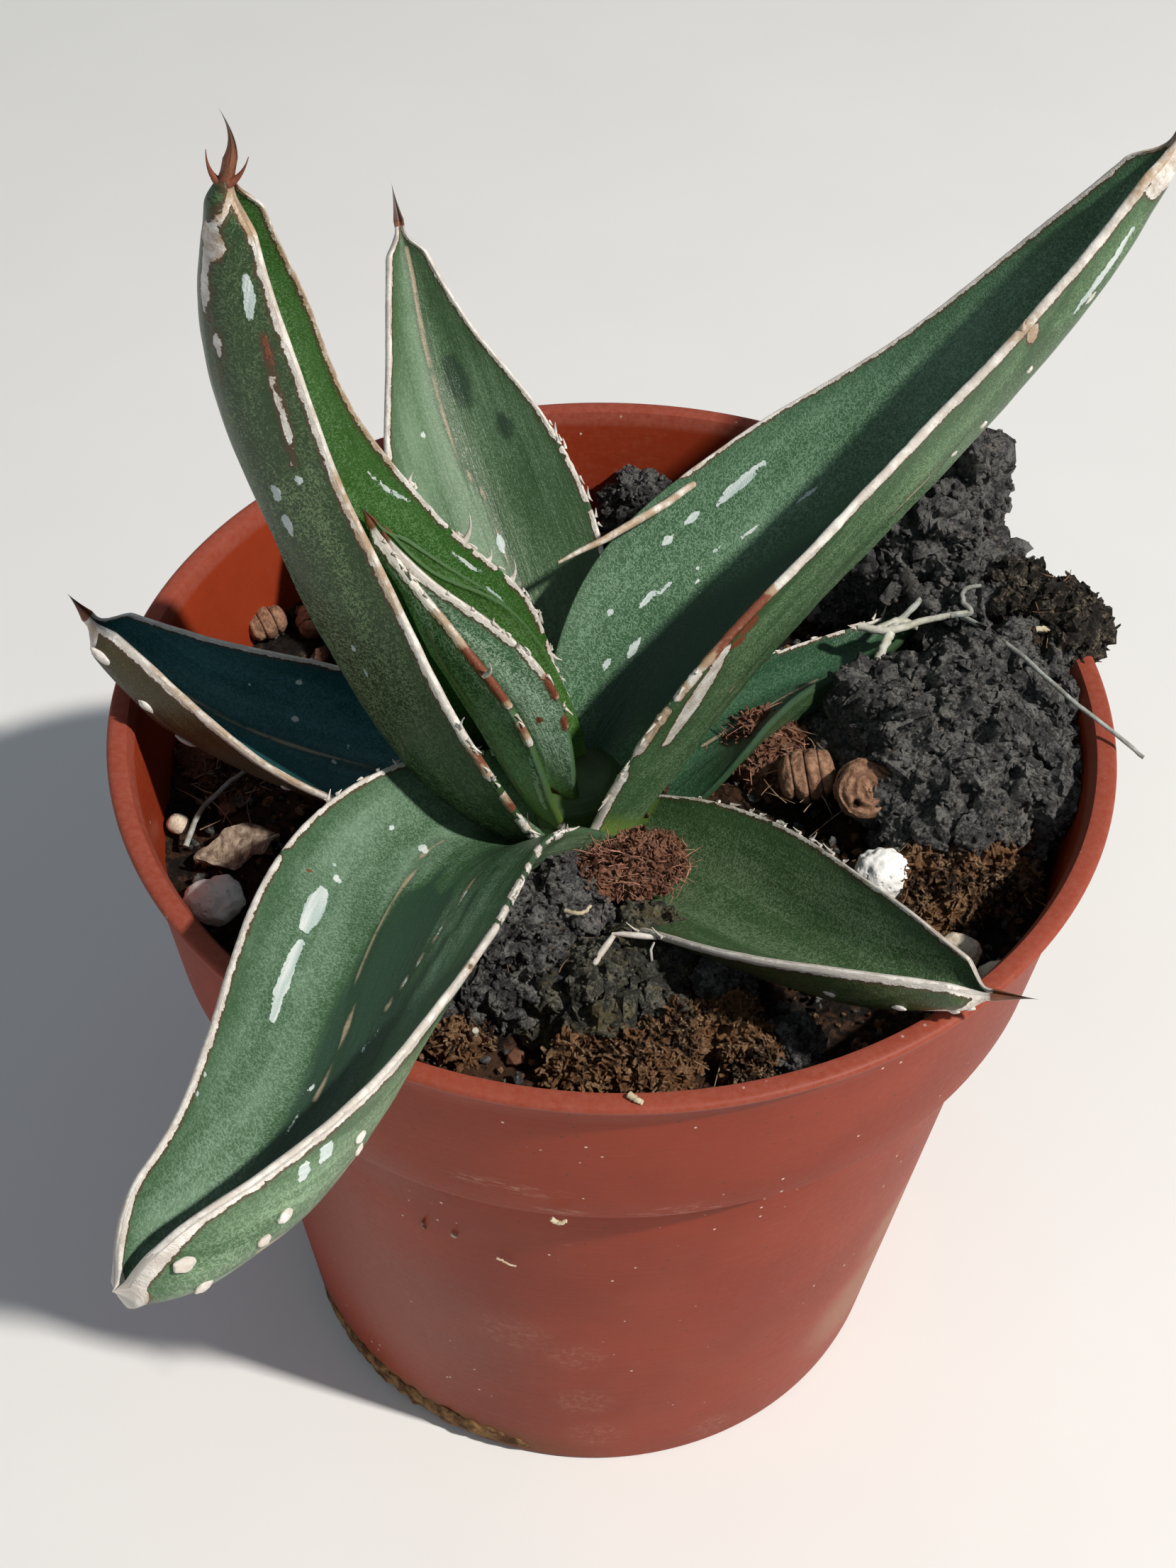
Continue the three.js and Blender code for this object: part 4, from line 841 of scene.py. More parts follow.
def makeBlade(name, leaf):
    steps = sectionSteps()
    bladeRows, spineRows = int(leaf["length"] / leafShare["rowStep"]), leafShare["spineRows"]
    columns = bladeRows + spineRows
    piece = gridSkin(name + "_blade", columns, len(steps) - 1)
    first = -leafShare["root"] / leaf["length"]
    rows = [leafRow(leaf, first + (1 - first) * i / bladeRows) for i in range(bladeRows + 1)]
    tip = rows[-1]
    tipRing = [sectionPoint(tip, across, under) for across, under in steps]
    tipMiddle = sum(tipRing, Vector()) / len(tipRing)
    for row in rows:
        row["horn"] = {side: hornPresence(leaf, side, row["t"]) for side in (leftEdge, rightEdge)}
        row["wear"] = {side: wearAt(leaf, side, row["t"]) for side in (leftEdge, rightEdge)}

    def toMillimetres(points):
        return [(t * leaf["length"], across * along(leaf["width"], t) / 2) for t, across in points]

    film, lines, patches, rust, dark = ({upperSide: [], underSide: []} for _ in range(5))
    for side, width, points, amount in leaf.get("dark", []):
        dark[side].append((width, toMillimetres(points), amount))
    for side, width, points in leaf.get("film", []):
        film[side].append((width, toMillimetres(points)))
    for side, points in leaf.get("lines", []):
        lines[side].append(toMillimetres(points))
    for side, width, points, worn in leaf.get("horn", []):
        patches[side].append((width, toMillimetres(points), worn))
    for side, radius, t, across in leaf.get("rust", []):
        rust[side].append((radius, toMillimetres([(t, across)])[0]))

    places, paints, marks, more = [], [], [], []
    for vertex in piece.data.vertices:
        i, j = round((vertex.co.x + 1) / 2 * columns), round((vertex.co.y + 1) / 2 * (len(steps) - 1))
        across, under = steps[j]
        beyond = max(0, i - bladeRows) / spineRows
        row = rows[min(i, bladeRows)]
        if beyond > 0:
            shrink = 0.8 * (1 - beyond) ** 1.7 + 0.2 * (1 - beyond)
            point = tipMiddle + (tipRing[j] - tipMiddle) * shrink
            point += tip["forward"] * (leaf["spine"] * beyond) + tip["up"] * (leaf.get("lean",
                        0) * beyond * beyond)
        else:
            point = sectionPoint(row, across, under)
        vertex.co = point * mm
        t = row["t"]
        x, y = t * leaf["length"], across * row["half"]
        side = upperSide if under < 0.5 else underSide
        edge = leftEdge if across >= 0 else rightEdge
        reach = leafShare["hornReach"] * leaf["margins"][edge]["bead"] * row["horn"][edge]
        reach -= 0.6 * (1 - row["horn"][edge])
        reach += leaf.get("tipReach", 0) * smoothStep(t, 0.93, 0.99)
        if leaf["margins"][edge]["bead"] == 0:
            reach = -1.5
        hornField, worn = row["half"] * (1 - abs(across)) - reach, row["wear"][edge]
        for width, path, amount in patches[side]:
            field = pathDistance(x, y, path, width)
            if field < hornField:
                hornField, worn = field, amount
        if t > leaf.get("tipHorn", 2):
            hornField, worn = -1.0, 0.15 + 0.5 * smoothStep(row["half"] * (1 - abs(across)), 1.0, 3.0)
        tipTone = leaf.get("tipTone", 0.45)      # 0.45 for a brown foot of the spine, 0.8 for a dark one
        tipShare = 0.0
        if leaf["tipBrown"] < 1:
            tipShare = (1 - tipTone) * beyond
            tipShare += clamp((t - leaf["tipBrown"]) / (1 - leaf["tipBrown"])) * tipTone
        places.append((x, y, 40.0 * under + leaf["seed"]))
        paints.append((hornField,
                    min([pathDistance(x, y, path, width) for width, path in film[side]], default=9.0),
                       max([1 - math.hypot(x - at[0], y - at[1]) / radius for radius,
                            at in rust[side]] + [0.0])))
        marks.append((min([pathDistance(x, y, path) for path in lines[side]], default=9.0),
                    1 - clamp(t / leaf["foot"]), tipShare))
        # the dark marks, with painted shade from the shade half and from the widest dark strokes
        dullAndShade = shadeAt(leaf, t, across) * (side == upperSide)
        for width, path, amount in dark[side]:
            dullAndShade += amount * (1 - smoothStep(pathDistance(x, y, path, width), -0.5 * width, 0.35 * width))
        more.append((worn, dullAndShade, under))
    setAttribute(piece, "leafPlace", places)
    setAttribute(piece, "leafPaint", paints)
    setAttribute(piece, "leafLines", marks)
    setAttribute(piece, "leafMore", more)
    closeSkin(piece)
    smoothed(piece, 80)
    return finished(piece, leafPaints[leaf["tone"]], leaf.get("slot", "leaf"), name)


def makeMargin(name, leaf, side):  # the horny bead that runs along one margin
    margin = leaf["margins"][side]
    columns, around = int(leaf["length"] / leafShare["hornStep"]), leafShare["hornSides"]
    piece = gridSkin(name + ("_margin_left" if side > 0 else "_margin_right"), columns, around)
    start, end = 0.012, min(0.995, leaf["tipBrown"] + 0.012)
    seed = leaf["seed"] + 5 * side
    rings = []
    for i in range(columns + 1):
        t = start + (end - start) * i / columns
        row = leafRow(leaf, t)
        s = t * leaf["length"]
        top, under = sectionPoint(row, side, 0), sectionPoint(row, side, 1)
        outward = ((top + under) / 2 - sectionPoint(row, side * 0.9, 0.5)).normalized()
        rough = 0.12 + 0.88 * inStretch(margin.get("rough", []), t, 0.03)
        size = 1 + 0.20 * ripple(s * 0.28, seed, 0) + 0.10 * ripple(s * 0.9, seed, 3)
        size += rough * (0.22 * ripple(s * 1.3, seed, 5) + 0.16 * ripple(s * 3.1, seed, 7))
        size *= margin["bead"] * (0.55 + 0.45 * hornPresence(leaf, side, t))
        size *= math.sqrt(min(1.0, (i + 0.001) / 8, (columns - i + 0.001) / 8) * row["taper"])
        rings.append(((top + under) / 2 - outward * (0.24 * size), outward, (top - under).normalized(),
                    size, s, rough, wearAt(leaf, side, t)))
    wear = []
    for vertex in piece.data.vertices:
        i = round((vertex.co.x + 1) / 2 * columns)
        angle = math.pi * (vertex.co.y + 1)
        centre, outward, normal, size, s, rough, worn = rings[i]
        uneven = 1 + (0.02 + 0.24 * rough) * ripple(s * 1.7 + seed, math.cos(angle) * 1.6,
                    math.sin(angle) * 1.6)
        spread = outward * (0.50 * math.cos(angle)) + normal * (0.60 * math.sin(angle))
        vertex.co = (centre + spread * (size * uneven)) * mm
        wear.append((worn + 0.30 * worn * ripple(s * 0.7, math.cos(angle), math.sin(angle) + seed), 0, 0))
    setAttribute(piece, "hornWear", wear)
    closeSkin(piece)
    return piece


def makeBumps(name, leaf, rng):  # pale warts on the underside, flat and oval
    made = []
    for t, across, length, width in leaf.get("bumps", []):
        row = leafRow(leaf, t)
        centre = sectionPoint(row, across, 1)
        sideways = (sectionPoint(row, across + 0.05, 1) - sectionPoint(row, across - 0.05, 1)).normalized()
        outward = sideways.cross(row["forward"]).normalized()
        deselectAll()
        bpy.ops.mesh.primitive_ico_sphere_add(subdivisions=4, radius=1, location=(0, 0, 0))
        bump = named("bump")
        skew = rng.uniform(-0.25, 0.25)
        for vertex in bump.data.vertices:
            x, y, z = vertex.co * (1 + 0.22 * ripple(vertex.co.x * 1.3 + t * 90, vertex.co.y * 1.3,
                        vertex.co.z))
            point = centre + row["forward"] * (x * length / 2 + skew * y) + sideways * (y
                        * width / 2) + outward * (z * 0.30 * width)
            vertex.co = point * mm
        setAttribute(bump, "hornWear", [(0.04, 0, 0)] * len(bump.data.vertices))
        made.append(bump)
    return made


def strands(name, rows, thickness,
            sides=1):  # thin tapered threads, each a list of (point, share of the thickness)
    curve = bpy.data.curves.new(name, "CURVE")
    curve.dimensions = "3D"
    curve.bevel_depth = thickness * mm
    curve.bevel_resolution = sides
    curve.use_fill_caps = True
    for row in rows:
        spline = curve.splines.new("POLY")
        spline.points.add(len(row) - 1)
        for place, (point, radius) in zip(spline.points, row):
            place.co = (*(Vector(point) * mm), 1)
            place.radius = radius
    piece = bpy.data.objects.new(name, curve)
    bpy.context.collection.objects.link(piece)
    pick(piece)
    bpy.ops.object.convert(target="MESH")
    return named(name)


def makeSplinters(name, leaf, rng):  # ragged flakes that stand off the rough stretches of the margins
    rows = []
    for side in (leftEdge, rightEdge):
        for start, end in leaf["margins"][side].get("rough", []):
            for _ in range(int((end - start) * leaf["length"] / 1.5)):
                row = leafRow(leaf, rng.uniform(start, end))
                edge = sectionPoint(row, side, 0.5)
                outward = (edge - sectionPoint(row, side * 0.9, 0.5)).normalized()
                direction = row["forward"] * rng.choice((-1, 1)) * rng.uniform(0.6, 1)
                direction += outward * rng.uniform(-0.1, 0.35)
                curl = row["up"] * rng.uniform(-0.4, 0.5)
                length = rng.uniform(0.6, 1.7)
                rows.append([(edge + direction * length * f + curl * length * f * f + outward * 0.15,
                            1.0 - 0.8 * f)
                             for f in (0.0, 0.25, 0.5, 0.75, 1.0)])
    if not rows:
        return []
    piece = strands(name + "_splinters", rows, 0.20)
    setAttribute(piece, "hornWear", [(0.10, 0, 0)] * len(piece.data.vertices))
    return [piece]


def makeTeeth(name, leaf):
    made = []
    for number, (t, side, length, out, worn) in enumerate(leaf.get("teeth", [])):
        row = leafRow(leaf, t)
        edge = sectionPoint(row, side, 1 if side == 0 else 0.5)
        if side == 0:
            outward = -row["up"]
        else:
            outward = (edge - sectionPoint(row, side * 0.8, 0.5)).normalized()
        steps = 12
        points = []
        for k in range(steps):
            f = k / (steps - 1)
            place = edge + outward * (-0.4 + (length * out + 0.4) * math.sin(f * 1.3) / 0.96)
            place += row["forward"] * (length * math.sqrt(1 - out * out) * (0.4 * f + 0.6 * f * f))
            points.append((place, 0.92 * (1 - f) ** 1.4 + 0.08))
        piece = strands(f"{name}_tooth_{number}", [points], 0.45, sides=3)
        setAttribute(piece, "hornWear", [(worn, 0, 0)] * len(piece.data.vertices))
        made.append(piece)
    return made


for name, leaf in leaves.items():
    rng = random.Random(leaf["seed"])
    leaf["line"] = leafLine(leaf)
    makeBlade(name, leaf)
    trim = [makeMargin(name, leaf, side) for side in (leftEdge,
                rightEdge) if leaf["margins"][side]["bead"] > 0]
    trim += makeSplinters(name, leaf, rng) + makeBumps(name, leaf, rng) + makeTeeth(name, leaf)
    margin = joined(name + "_margins", trim)
    smoothed(margin, 70)
    finished(margin, horn, leaf.get("slot", "leaf"))
    print("leaf ready:", name)

print("stage: peeled strips of margin")
peels = {
    "peeled_strip": {"points": [(8.5, 22.8, 105.0), (7.0, 21.0, 105.3), (4.7, 17.8, 105.6),
                (1.8, 14.9, 105.6),
                                (-1.6, 12.0, 105.2), (-4.2, 10.6, 104.6), (-6.4, 9.3, 104.0)],
                     "radius": 0.46, "wear": 0.42},
    "hanging_strip": {"points": [(5.2, -27.2, 87.7), (3.6, -27.0, 87.6), (2.0, -26.8, 87.5),
                (0.8, -26.7, 87.4)], "radius": 0.34, "wear": 0.05},
    "hanging_end": {"points": [(1.0, -26.8, 87.3), (0.5, -27.3, 86.7), (-0.4, -28.5, 86.0),
                (-1.0, -29.5, 85.2), (-1.6, -30.2, 84.8)],
                    "radius": 0.38, "wear": 0.03},
    "thin_curl": {"points": [(5.0, -27.4, 87.2), (4.7, -27.7, 86.4), (4.9, -28.3, 85.4), (4.7, -28.7, 84.7),
                (5.4, -29.3, 84.4)],
                  "radius": 0.16, "wear": 0.1},
    "loose_strip": {"points": [(-5.0, 27.7, 100.0), (-4.4, 26.4, 99.0), (-3.3, 24.3, 97.0),
                (-2.2, 22.9, 94.2), (-1.9, 22.6, 93.0)],
                    "radius": 0.36, "wear": 0.20},
}
strips = []
for name, strip in peels.items():
    last = len(strip["points"]) - 1
    row = [(point, 1.0 - 0.45 * abs(2 * i / last - 0.8) ** 2) for i, point in enumerate(strip["points"])]
    piece = strands(name, [row], strip["radius"], sides=2)
    setAttribute(piece, "hornWear", [(strip["wear"], 0, 0)] * len(piece.data.vertices))
    strips.append(piece)
peeled = joined("peeled_margin", strips)
smoothed(peeled, 80)
finished(peeled, horn, "leaf")

print("stage: pot")
pot = {
    "sides": 192,
    "height": 93.0, "rimRadius": 52.5, "lipWidth": 2.0, "lipHeight": 0.9,
    "collarTop": 51.0, "collarBottom": 48.4, "collarHeight": 23.5,
    "bodyTop": 45.2, "base": 37.0, "wall": 1.2, "floor": 1.8,
    "drainHoles": 8, "drainRadius": 3.0, "drainCircle": 27.0,
}


def innerRadius(z):  # of the pot's inner face
    step = pot["height"] - pot["collarHeight"]
    if z > step:
        return pot["collarBottom"] + (pot["collarTop"] - pot["collarBottom"]) * (z
                    - step) / pot["collarHeight"] - pot["wall"]
    return pot["base"] + (pot["bodyTop"] - pot["base"]) * z / step - pot["wall"]


potMarks = {
    # place and reach of each mark
    # painted light: a grey sheen on the front left and a pale glare low on the right
    "painted_sheen_left": [((-23, -34, 30), 24), ((-32, -26, 45), 22), ((-24, -41, 66), 12)],
    "painted_glare_right": [((33, -21, 16), 13), ((37, -20, 30), 9)],
    "flatness": 3.5,       # how much the scrapes are squashed; their heights are counted that much larger
    "scrapes": [((-11, -47.4, 260), 5.5), ((-6, -48.3, 259), 5.0), ((-3, -48.5, 247), 3.5),
                ((9, -47.5, 246), 6)],
    "smudges": [((-8, -40.2, 34), 6), ((-1, -40.5, 30), 5), ((0, -39, 17.4), 5), ((1.6, -37.9, 7.9), 5),
                ((15.7, -34.1, 4.5), 4)],
    "mud": [((-24.0, -27.0, 2.0), 34)],
    "rubbed": 91.6,       # the height above which the rim is dusty
}


def potMaterial():
    paint = Shading("terracotta_plastic", roughness=0.42, specular=0.14)
    place = paint.place()
    cloud = paint.grain(place, 0.05, detail=5, rough=0.6)
    fine = paint.grain(place, 1.3, detail=4, rough=0.7)
    drawn = paint.grain(paint.place((0.06, 0.06, 1.6)), 1.0, detail=4, rough=0.7)
    colour = paint.mix(paint.span(cloud, 0.3, 0.7), (0.234, 0.029, 0.009), (0.290, 0.039, 0.013))
    colour = paint.mix(paint.span(fine, 0.5, 0.8, 0.0, 0.22), colour, (0.33, 0.056, 0.022))
    colour = paint.mix(paint.span(drawn, 0.60, 0.78, 0.0, 0.16), colour, (0.36, 0.11, 0.06))
    # dust in broad patches, dark and pale specks, fine scratches
    dust = paint.times(paint.span(paint.grain(place, 0.035, detail=6, rough=0.65), 0.5, 0.75),
                paint.span(fine, 0.35, 0.7))
    colour = paint.mix(paint.times(dust, 0.22), colour, (0.38, 0.15, 0.10))
    # short pale scratches and scuffs, most of them low on the collar and on the wall
    scuff = paint.grain(paint.place((0.35, 0.35, 2.2)), 1.0, detail=6, rough=0.8, twist=0.6)
    patchy = paint.span(paint.grain(place, 0.06, detail=2), 0.52, 0.62)
    colour = paint.mix(paint.times(paint.span(scuff, 0.64, 0.70, 0.0, 0.55), patchy), colour,
                (0.50, 0.25, 0.17))
    specks = paint.span(paint.cells(place, 0.50), 0.05, 0.10, 1.0, 0.0)
    sparse = paint.span(paint.grain(place, 0.13), 0.52, 0.58)
    colour = paint.mix(paint.times(specks, sparse), colour, (0.75, 0.60, 0.52))
    darkSpecks = paint.span(paint.cells(paint.place((1, 1.1, 0.9)), 0.5), 0.05, 0.09, 0.8, 0.0)
    colour = paint.mix(darkSpecks, colour, (0.09, 0.035, 0.025))
    # painted light: a grey sheen on the front left and a pale glare low on the right; a scraped line on the
    # collar and smudges low on the wall
    colour = paint.mix(paint.times(paint.near(place, potMarks["painted_sheen_left"]), 0.36), colour,
                (0.235, 0.095, 0.066))
    colour = paint.mix(paint.times(paint.near(place, potMarks["painted_glare_right"]), 0.38), colour, (0.400, 0.260, 0.160))
    flat = paint.place((1, 1, potMarks["flatness"]))
    scrape = paint.times(paint.near(flat, potMarks["scrapes"]), paint.span(scuff, 0.50, 0.60))
    smudge = paint.times(paint.near(place, potMarks["smudges"]), paint.span(fine, 0.40, 0.80, 0.0, 0.75))
    colour = paint.mix(paint.times(paint.calc("MAXIMUM", scrape, smudge), 0.5), colour, (0.52, 0.28, 0.20))
    # the rim's top is rubbed pale and dusty
    rubbed = paint.times(paint.span(paint.split(place)[2], potMarks["rubbed"] - 0.6,
                potMarks["rubbed"] + 0.4), paint.span(fine, 0.25, 0.75, 0.35, 0.85))
    colour = paint.mix(rubbed, colour, (0.325, 0.088, 0.060))
    # dried mud round the foot, thickest at the front left
    height = paint.split(place)[2]
    near = paint.near(place, potMarks["mud"])
    wobble = paint.grain(place, 0.25, detail=5, rough=0.7)
    low = paint.span(paint.calc("SUBTRACT", height, paint.times(wobble, 9.0)), -2.0, 3.5, 1.0, 0.0)
    mud = paint.times(paint.times(low, near), 0.85)
    colour = paint.mix(mud, colour, paint.mix(wobble, (0.07, 0.035, 0.018), (0.26, 0.14, 0.06)))
    paint.bump(fine, 0.05, 0.35)
    paint.bump(drawn, 0.08, 0.35)
    roughness = paint.calc("ADD", 0.34, paint.times(paint.calc("ADD", fine, mud), 0.25))
    return paint.close(colour, roughness)


def turned(name, profile, sides):  # a ring drawn out and widened step by step, as on a wheel
    deselectAll()
    radius, height = profile[0]
    bpy.ops.mesh.primitive_circle_add(vertices=sides, radius=radius * mm, fill_type="NGON",
                location=(0, 0, height * mm))
    piece = named(name)
    applyPlace(piece)
    bpy.ops.object.mode_set(mode="EDIT")
    bpy.ops.mesh.select_all(action="SELECT")
    bpy.ops.mesh.delete(type="ONLY_FACE")
    bpy.ops.mesh.select_all(action="SELECT")
    for newRadius, newHeight in profile[1:]:
        bpy.ops.mesh.extrude_region_move(TRANSFORM_OT_translate={"value": (0, 0, (newHeight - height) * mm)})
        wider = newRadius / radius
        bpy.ops.transform.resize(value=(wider, wider, 1), center_override=(0, 0, 0))
        radius, height = newRadius, newHeight
    bpy.ops.mesh.edge_face_add()
    bpy.ops.mesh.select_all(action="DESELECT")
    bpy.ops.object.mode_set(mode="OBJECT")
    return piece


def makePot():
    top, lip, step = pot["height"], pot["height"] - pot["lipHeight"], pot["height"] - pot["collarHeight"]
    rim, inside = pot["rimRadius"], pot["rimRadius"] - pot["lipWidth"]
    wallSteps = 12
    body = [(pot["base"] + (pot["bodyTop"] - pot["base"]) * k / wallSteps, 1.2 + (step - 1.2) * k / wallSteps)
            for k in range(1, wallSteps)]
    collar = [(pot["collarBottom"] + (pot["collarTop"] - pot["collarBottom"]) * k / 6,
               step + 0.5 + (lip - step - 0.9) * k / 6)
              for k in range(7)]
    profile = [
        (2.0, 0.0), (pot["drainCircle"] - 6, 0.0), (pot["drainCircle"] + 6, 0.0),
        (pot["base"] - 1.3, 0.0), (pot["base"] - 0.6, 0.12), (pot["base"] - 0.15, 0.5), (pot["base"], 1.2),
        *body,
        (pot["bodyTop"] - 0.05, step - 0.4), (pot["bodyTop"] + 0.25, step - 0.05),
        (pot["bodyTop"] + 0.7, step),
        (pot["collarBottom"] - 0.5, step), (pot["collarBottom"] - 0.1, step + 0.12),
        *collar,
        (pot["collarTop"] + 0.25, lip - 0.1), (rim - 0.35, lip), (rim - 0.08, lip + 0.15),
        (rim, lip + 0.4), (rim - 0.08, top - 0.25), (rim - 0.35, top - 0.04), (rim - 0.7, top),
        (inside + 0.3, top), (inside - 0.05, top - 0.12), (innerRadius(lip) + 0.1, lip - 0.4),
        (innerRadius(step + 8), step + 8), (innerRadius(step + 1.2), step + 1.2), (innerRadius(step), step),
        (innerRadius(pot["floor"]), pot["floor"]), (2.0, pot["floor"]),
    ]
    piece = turned("nursery_pot", profile, pot["sides"])
    pick(piece)
    bpy.ops.object.mode_set(mode="EDIT")
    bpy.ops.mesh.select_non_manifold()       # the open ring under the floor
    bpy.ops.mesh.edge_face_add()
    bpy.ops.mesh.select_all(action="SELECT")
    bpy.ops.mesh.normals_make_consistent(inside=False)
    bpy.ops.object.mode_set(mode="OBJECT")
    holes = []
    for k in range(pot["drainHoles"]):
        angle = 2 * math.pi * (k + 0.5) / pot["drainHoles"]
        at = (pot["drainCircle"] * math.cos(angle) * mm, pot["drainCircle"] * math.sin(angle) * mm,
              pot["floor"] / 2 * mm)
        deselectAll()
        bpy.ops.mesh.primitive_cylinder_add(vertices=40, radius=pot["drainRadius"] * mm, depth=8 * mm,
                    location=at)
        holes.append(named("hole"))
    cutter = joined("drain_cutter", holes)
    cut = piece.modifiers.new("drain", "BOOLEAN")
    cut.operation = "DIFFERENCE"
    cut.object = cutter
    cut.solver = "EXACT"
    applyModifiers(piece)
    bpy.data.objects.remove(cutter)
    for vertex in piece.data.vertices:       # a thin moulding is never quite round
        x, y, z = vertex.co / mm
        warp = 0.22 * math.sin(2 * math.atan2(y, x) + 0.6) * clamp(z / 93) + 0.05 * ripple(x * 0.05,
                    y * 0.05, z * 0.05)
        reach = math.hypot(x, y)
        if reach > 30:
            vertex.co.x *= 1 - (0.25 - warp) / reach * (reach > 45)
            vertex.co.y *= 1 - (0.25 - warp) / reach * (reach > 45)
    smoothed(piece, 35)
    return finished(piece, potMaterial(), "pot_plastic", "pot")


makePot()

mud = {"from": -156, "to": -99, "middle": 3.0, "half": 3.0, "depth": 0.95, "columns": 110, "around": 20}


def makeMud():  # a crust of dried mud along the foot of the pot
    piece = gridSkin("dried_mud", mud["columns"], mud["around"])
    for vertex in piece.data.vertices:
        f, angle = (vertex.co.x + 1) / 2, math.pi * (vertex.co.y + 1)
        around = math.radians(mud["from"] + (mud["to"] - mud["from"]) * f)
        size = math.sqrt(clamp(4 * f * (1 - f))) * (0.72 + 0.38 * ripple(f * 9, 2,
                    1) + 0.22 * ripple(f * 31, 5, 3))
        rough = 1 + 0.30 * ripple(f * 26, math.cos(angle) * 1.5, math.sin(angle) * 1.5)
        height = max(mud["middle"] * clamp(0.45 + size) + mud["half"] * size * rough * math.sin(angle), 0.03)
        reach = innerRadius(height) + pot["wall"] - 0.25 + mud["depth"] * size * rough * math.cos(angle)
        vertex.co = Vector((reach * math.cos(around), reach * math.sin(around), height)) * mm
    closeSkin(piece)
    smoothed(piece, 50)
    paint = Shading("dried_mud", roughness=0.9, specular=0.15)
    place = paint.place()
    lump, fine = paint.grain(place, 0.45, detail=6, rough=0.7), paint.grain(place, 2.2, detail=4, rough=0.7)
    colour = paint.mix(paint.span(lump, 0.40, 0.60), (0.085, 0.038, 0.018), (0.270, 0.150, 0.062))
    colour = paint.mix(paint.span(fine, 0.56, 0.70, 0.0, 0.6), colour, (0.045, 0.022, 0.012))
    paint.bump(lump, 0.5, 0.7)
    paint.bump(fine, 0.2, 0.7)
    return finished(piece, paint.close(colour), "soil")


makeMud()

print("stage: soil")
soil = {"level": 78.0, "mound": 2.0, "moundRadius": 20.0, "bump": 0.55, "grid": 150, "crown": (-4.5, -2.0),
        "skirt": [(10.0, 0.895), (63.0, 0.82)]}


def soilHeight(x, y):
    dx, dy = x - soil["crown"][0], y - soil["crown"][1]
    mound = soil["mound"] * math.exp(-(dx * dx + dy * dy) / soil["moundRadius"] ** 2)
    bumps = math.sin(x * 0.42 + 1.3) * math.cos(y * 0.37) + 0.6 * math.sin(x * 0.9 - y * 0.8 + 2)
    return soil["level"] + mound + soil["bump"] * bumps


def earthMaterial(name, dark, warm, pale, warmShare, paleShare):
    paint = Shading(name, roughness=0.92, specular=0.18)
    place = paint.place()
    broad = paint.grain(place, 0.16, detail=5, rough=0.65)
    crumb = paint.grain(place, 0.9, detail=8, rough=0.8)
    fine = paint.grain(place, 3.2, detail=6, rough=0.85)
    cells = paint.cells(place, 1.1)
    grit = paint.cells(place, 2.6)
    colour = paint.mix(paint.span(crumb, 0.40, 0.60), dark, tuple(2.4 * c for c in dark))
    warmth = paint.swayed(broad, crumb, 1.3)
    colour = paint.mix(paint.span(warmth, 1 - warmShare - 0.04, 1 - warmShare + 0.08), colour, warm)
    crust = paint.swayed(paint.grain(place, 0.45, detail=6, rough=0.8), fine, 1.1)
    colour = paint.mix(paint.span(crust, 1 - paleShare, 1 - paleShare + 0.12, 0.0, 0.8), colour, pale)
    colour = paint.mix(paint.span(grit, 0.0, 0.16, 0.7, 0.0), colour,
                tuple(0.5 * (c + p) for c, p in zip(warm, pale)))
    # painted shade: near-black spots for the pores, where light does not reach into the holes
    colour = paint.mix(paint.span(cells, 0.0, 0.22, 0.7, 0.0), colour, (0.005, 0.005, 0.005))
    paint.bump(crumb, 1.3, 0.9)
    paint.bump(fine, 0.5, 1.0)
    return paint.close(colour)


earths = {
    "soil": earthMaterial("potting_mix", (0.014, 0.011, 0.009), (0.105, 0.052, 0.029), (0.17, 0.14, 0.12),
                0.50, 0.38),
    "dark": earthMaterial("dark_peat", (0.060, 0.060, 0.061), (0.190, 0.130, 0.090), (0.360, 0.355, 0.330),
                0.32, 0.52),
    "grey": earthMaterial("grey_peat", (0.056, 0.056, 0.058), (0.190, 0.130, 0.096), (0.330, 0.325, 0.310),
                0.38, 0.54),
    "olive": earthMaterial("olive_peat", (0.054, 0.054, 0.046), (0.180, 0.150, 0.072),
                (0.340, 0.330, 0.260), 0.44, 0.48),
    "umber": earthMaterial("umber_peat", (0.030, 0.026, 0.023), (0.190, 0.120, 0.070),
                (0.420, 0.340, 0.240), 0.34, 0.46),
    "brown": earthMaterial("brown_peat", (0.034, 0.021, 0.014), (0.330, 0.165, 0.078),
                (0.640, 0.430, 0.260), 0.56, 0.48),
    "red": earthMaterial("red_peat", (0.095, 0.040, 0.024), (0.420, 0.190, 0.115), (0.560, 0.350, 0.250),
                0.60, 0.48),
}


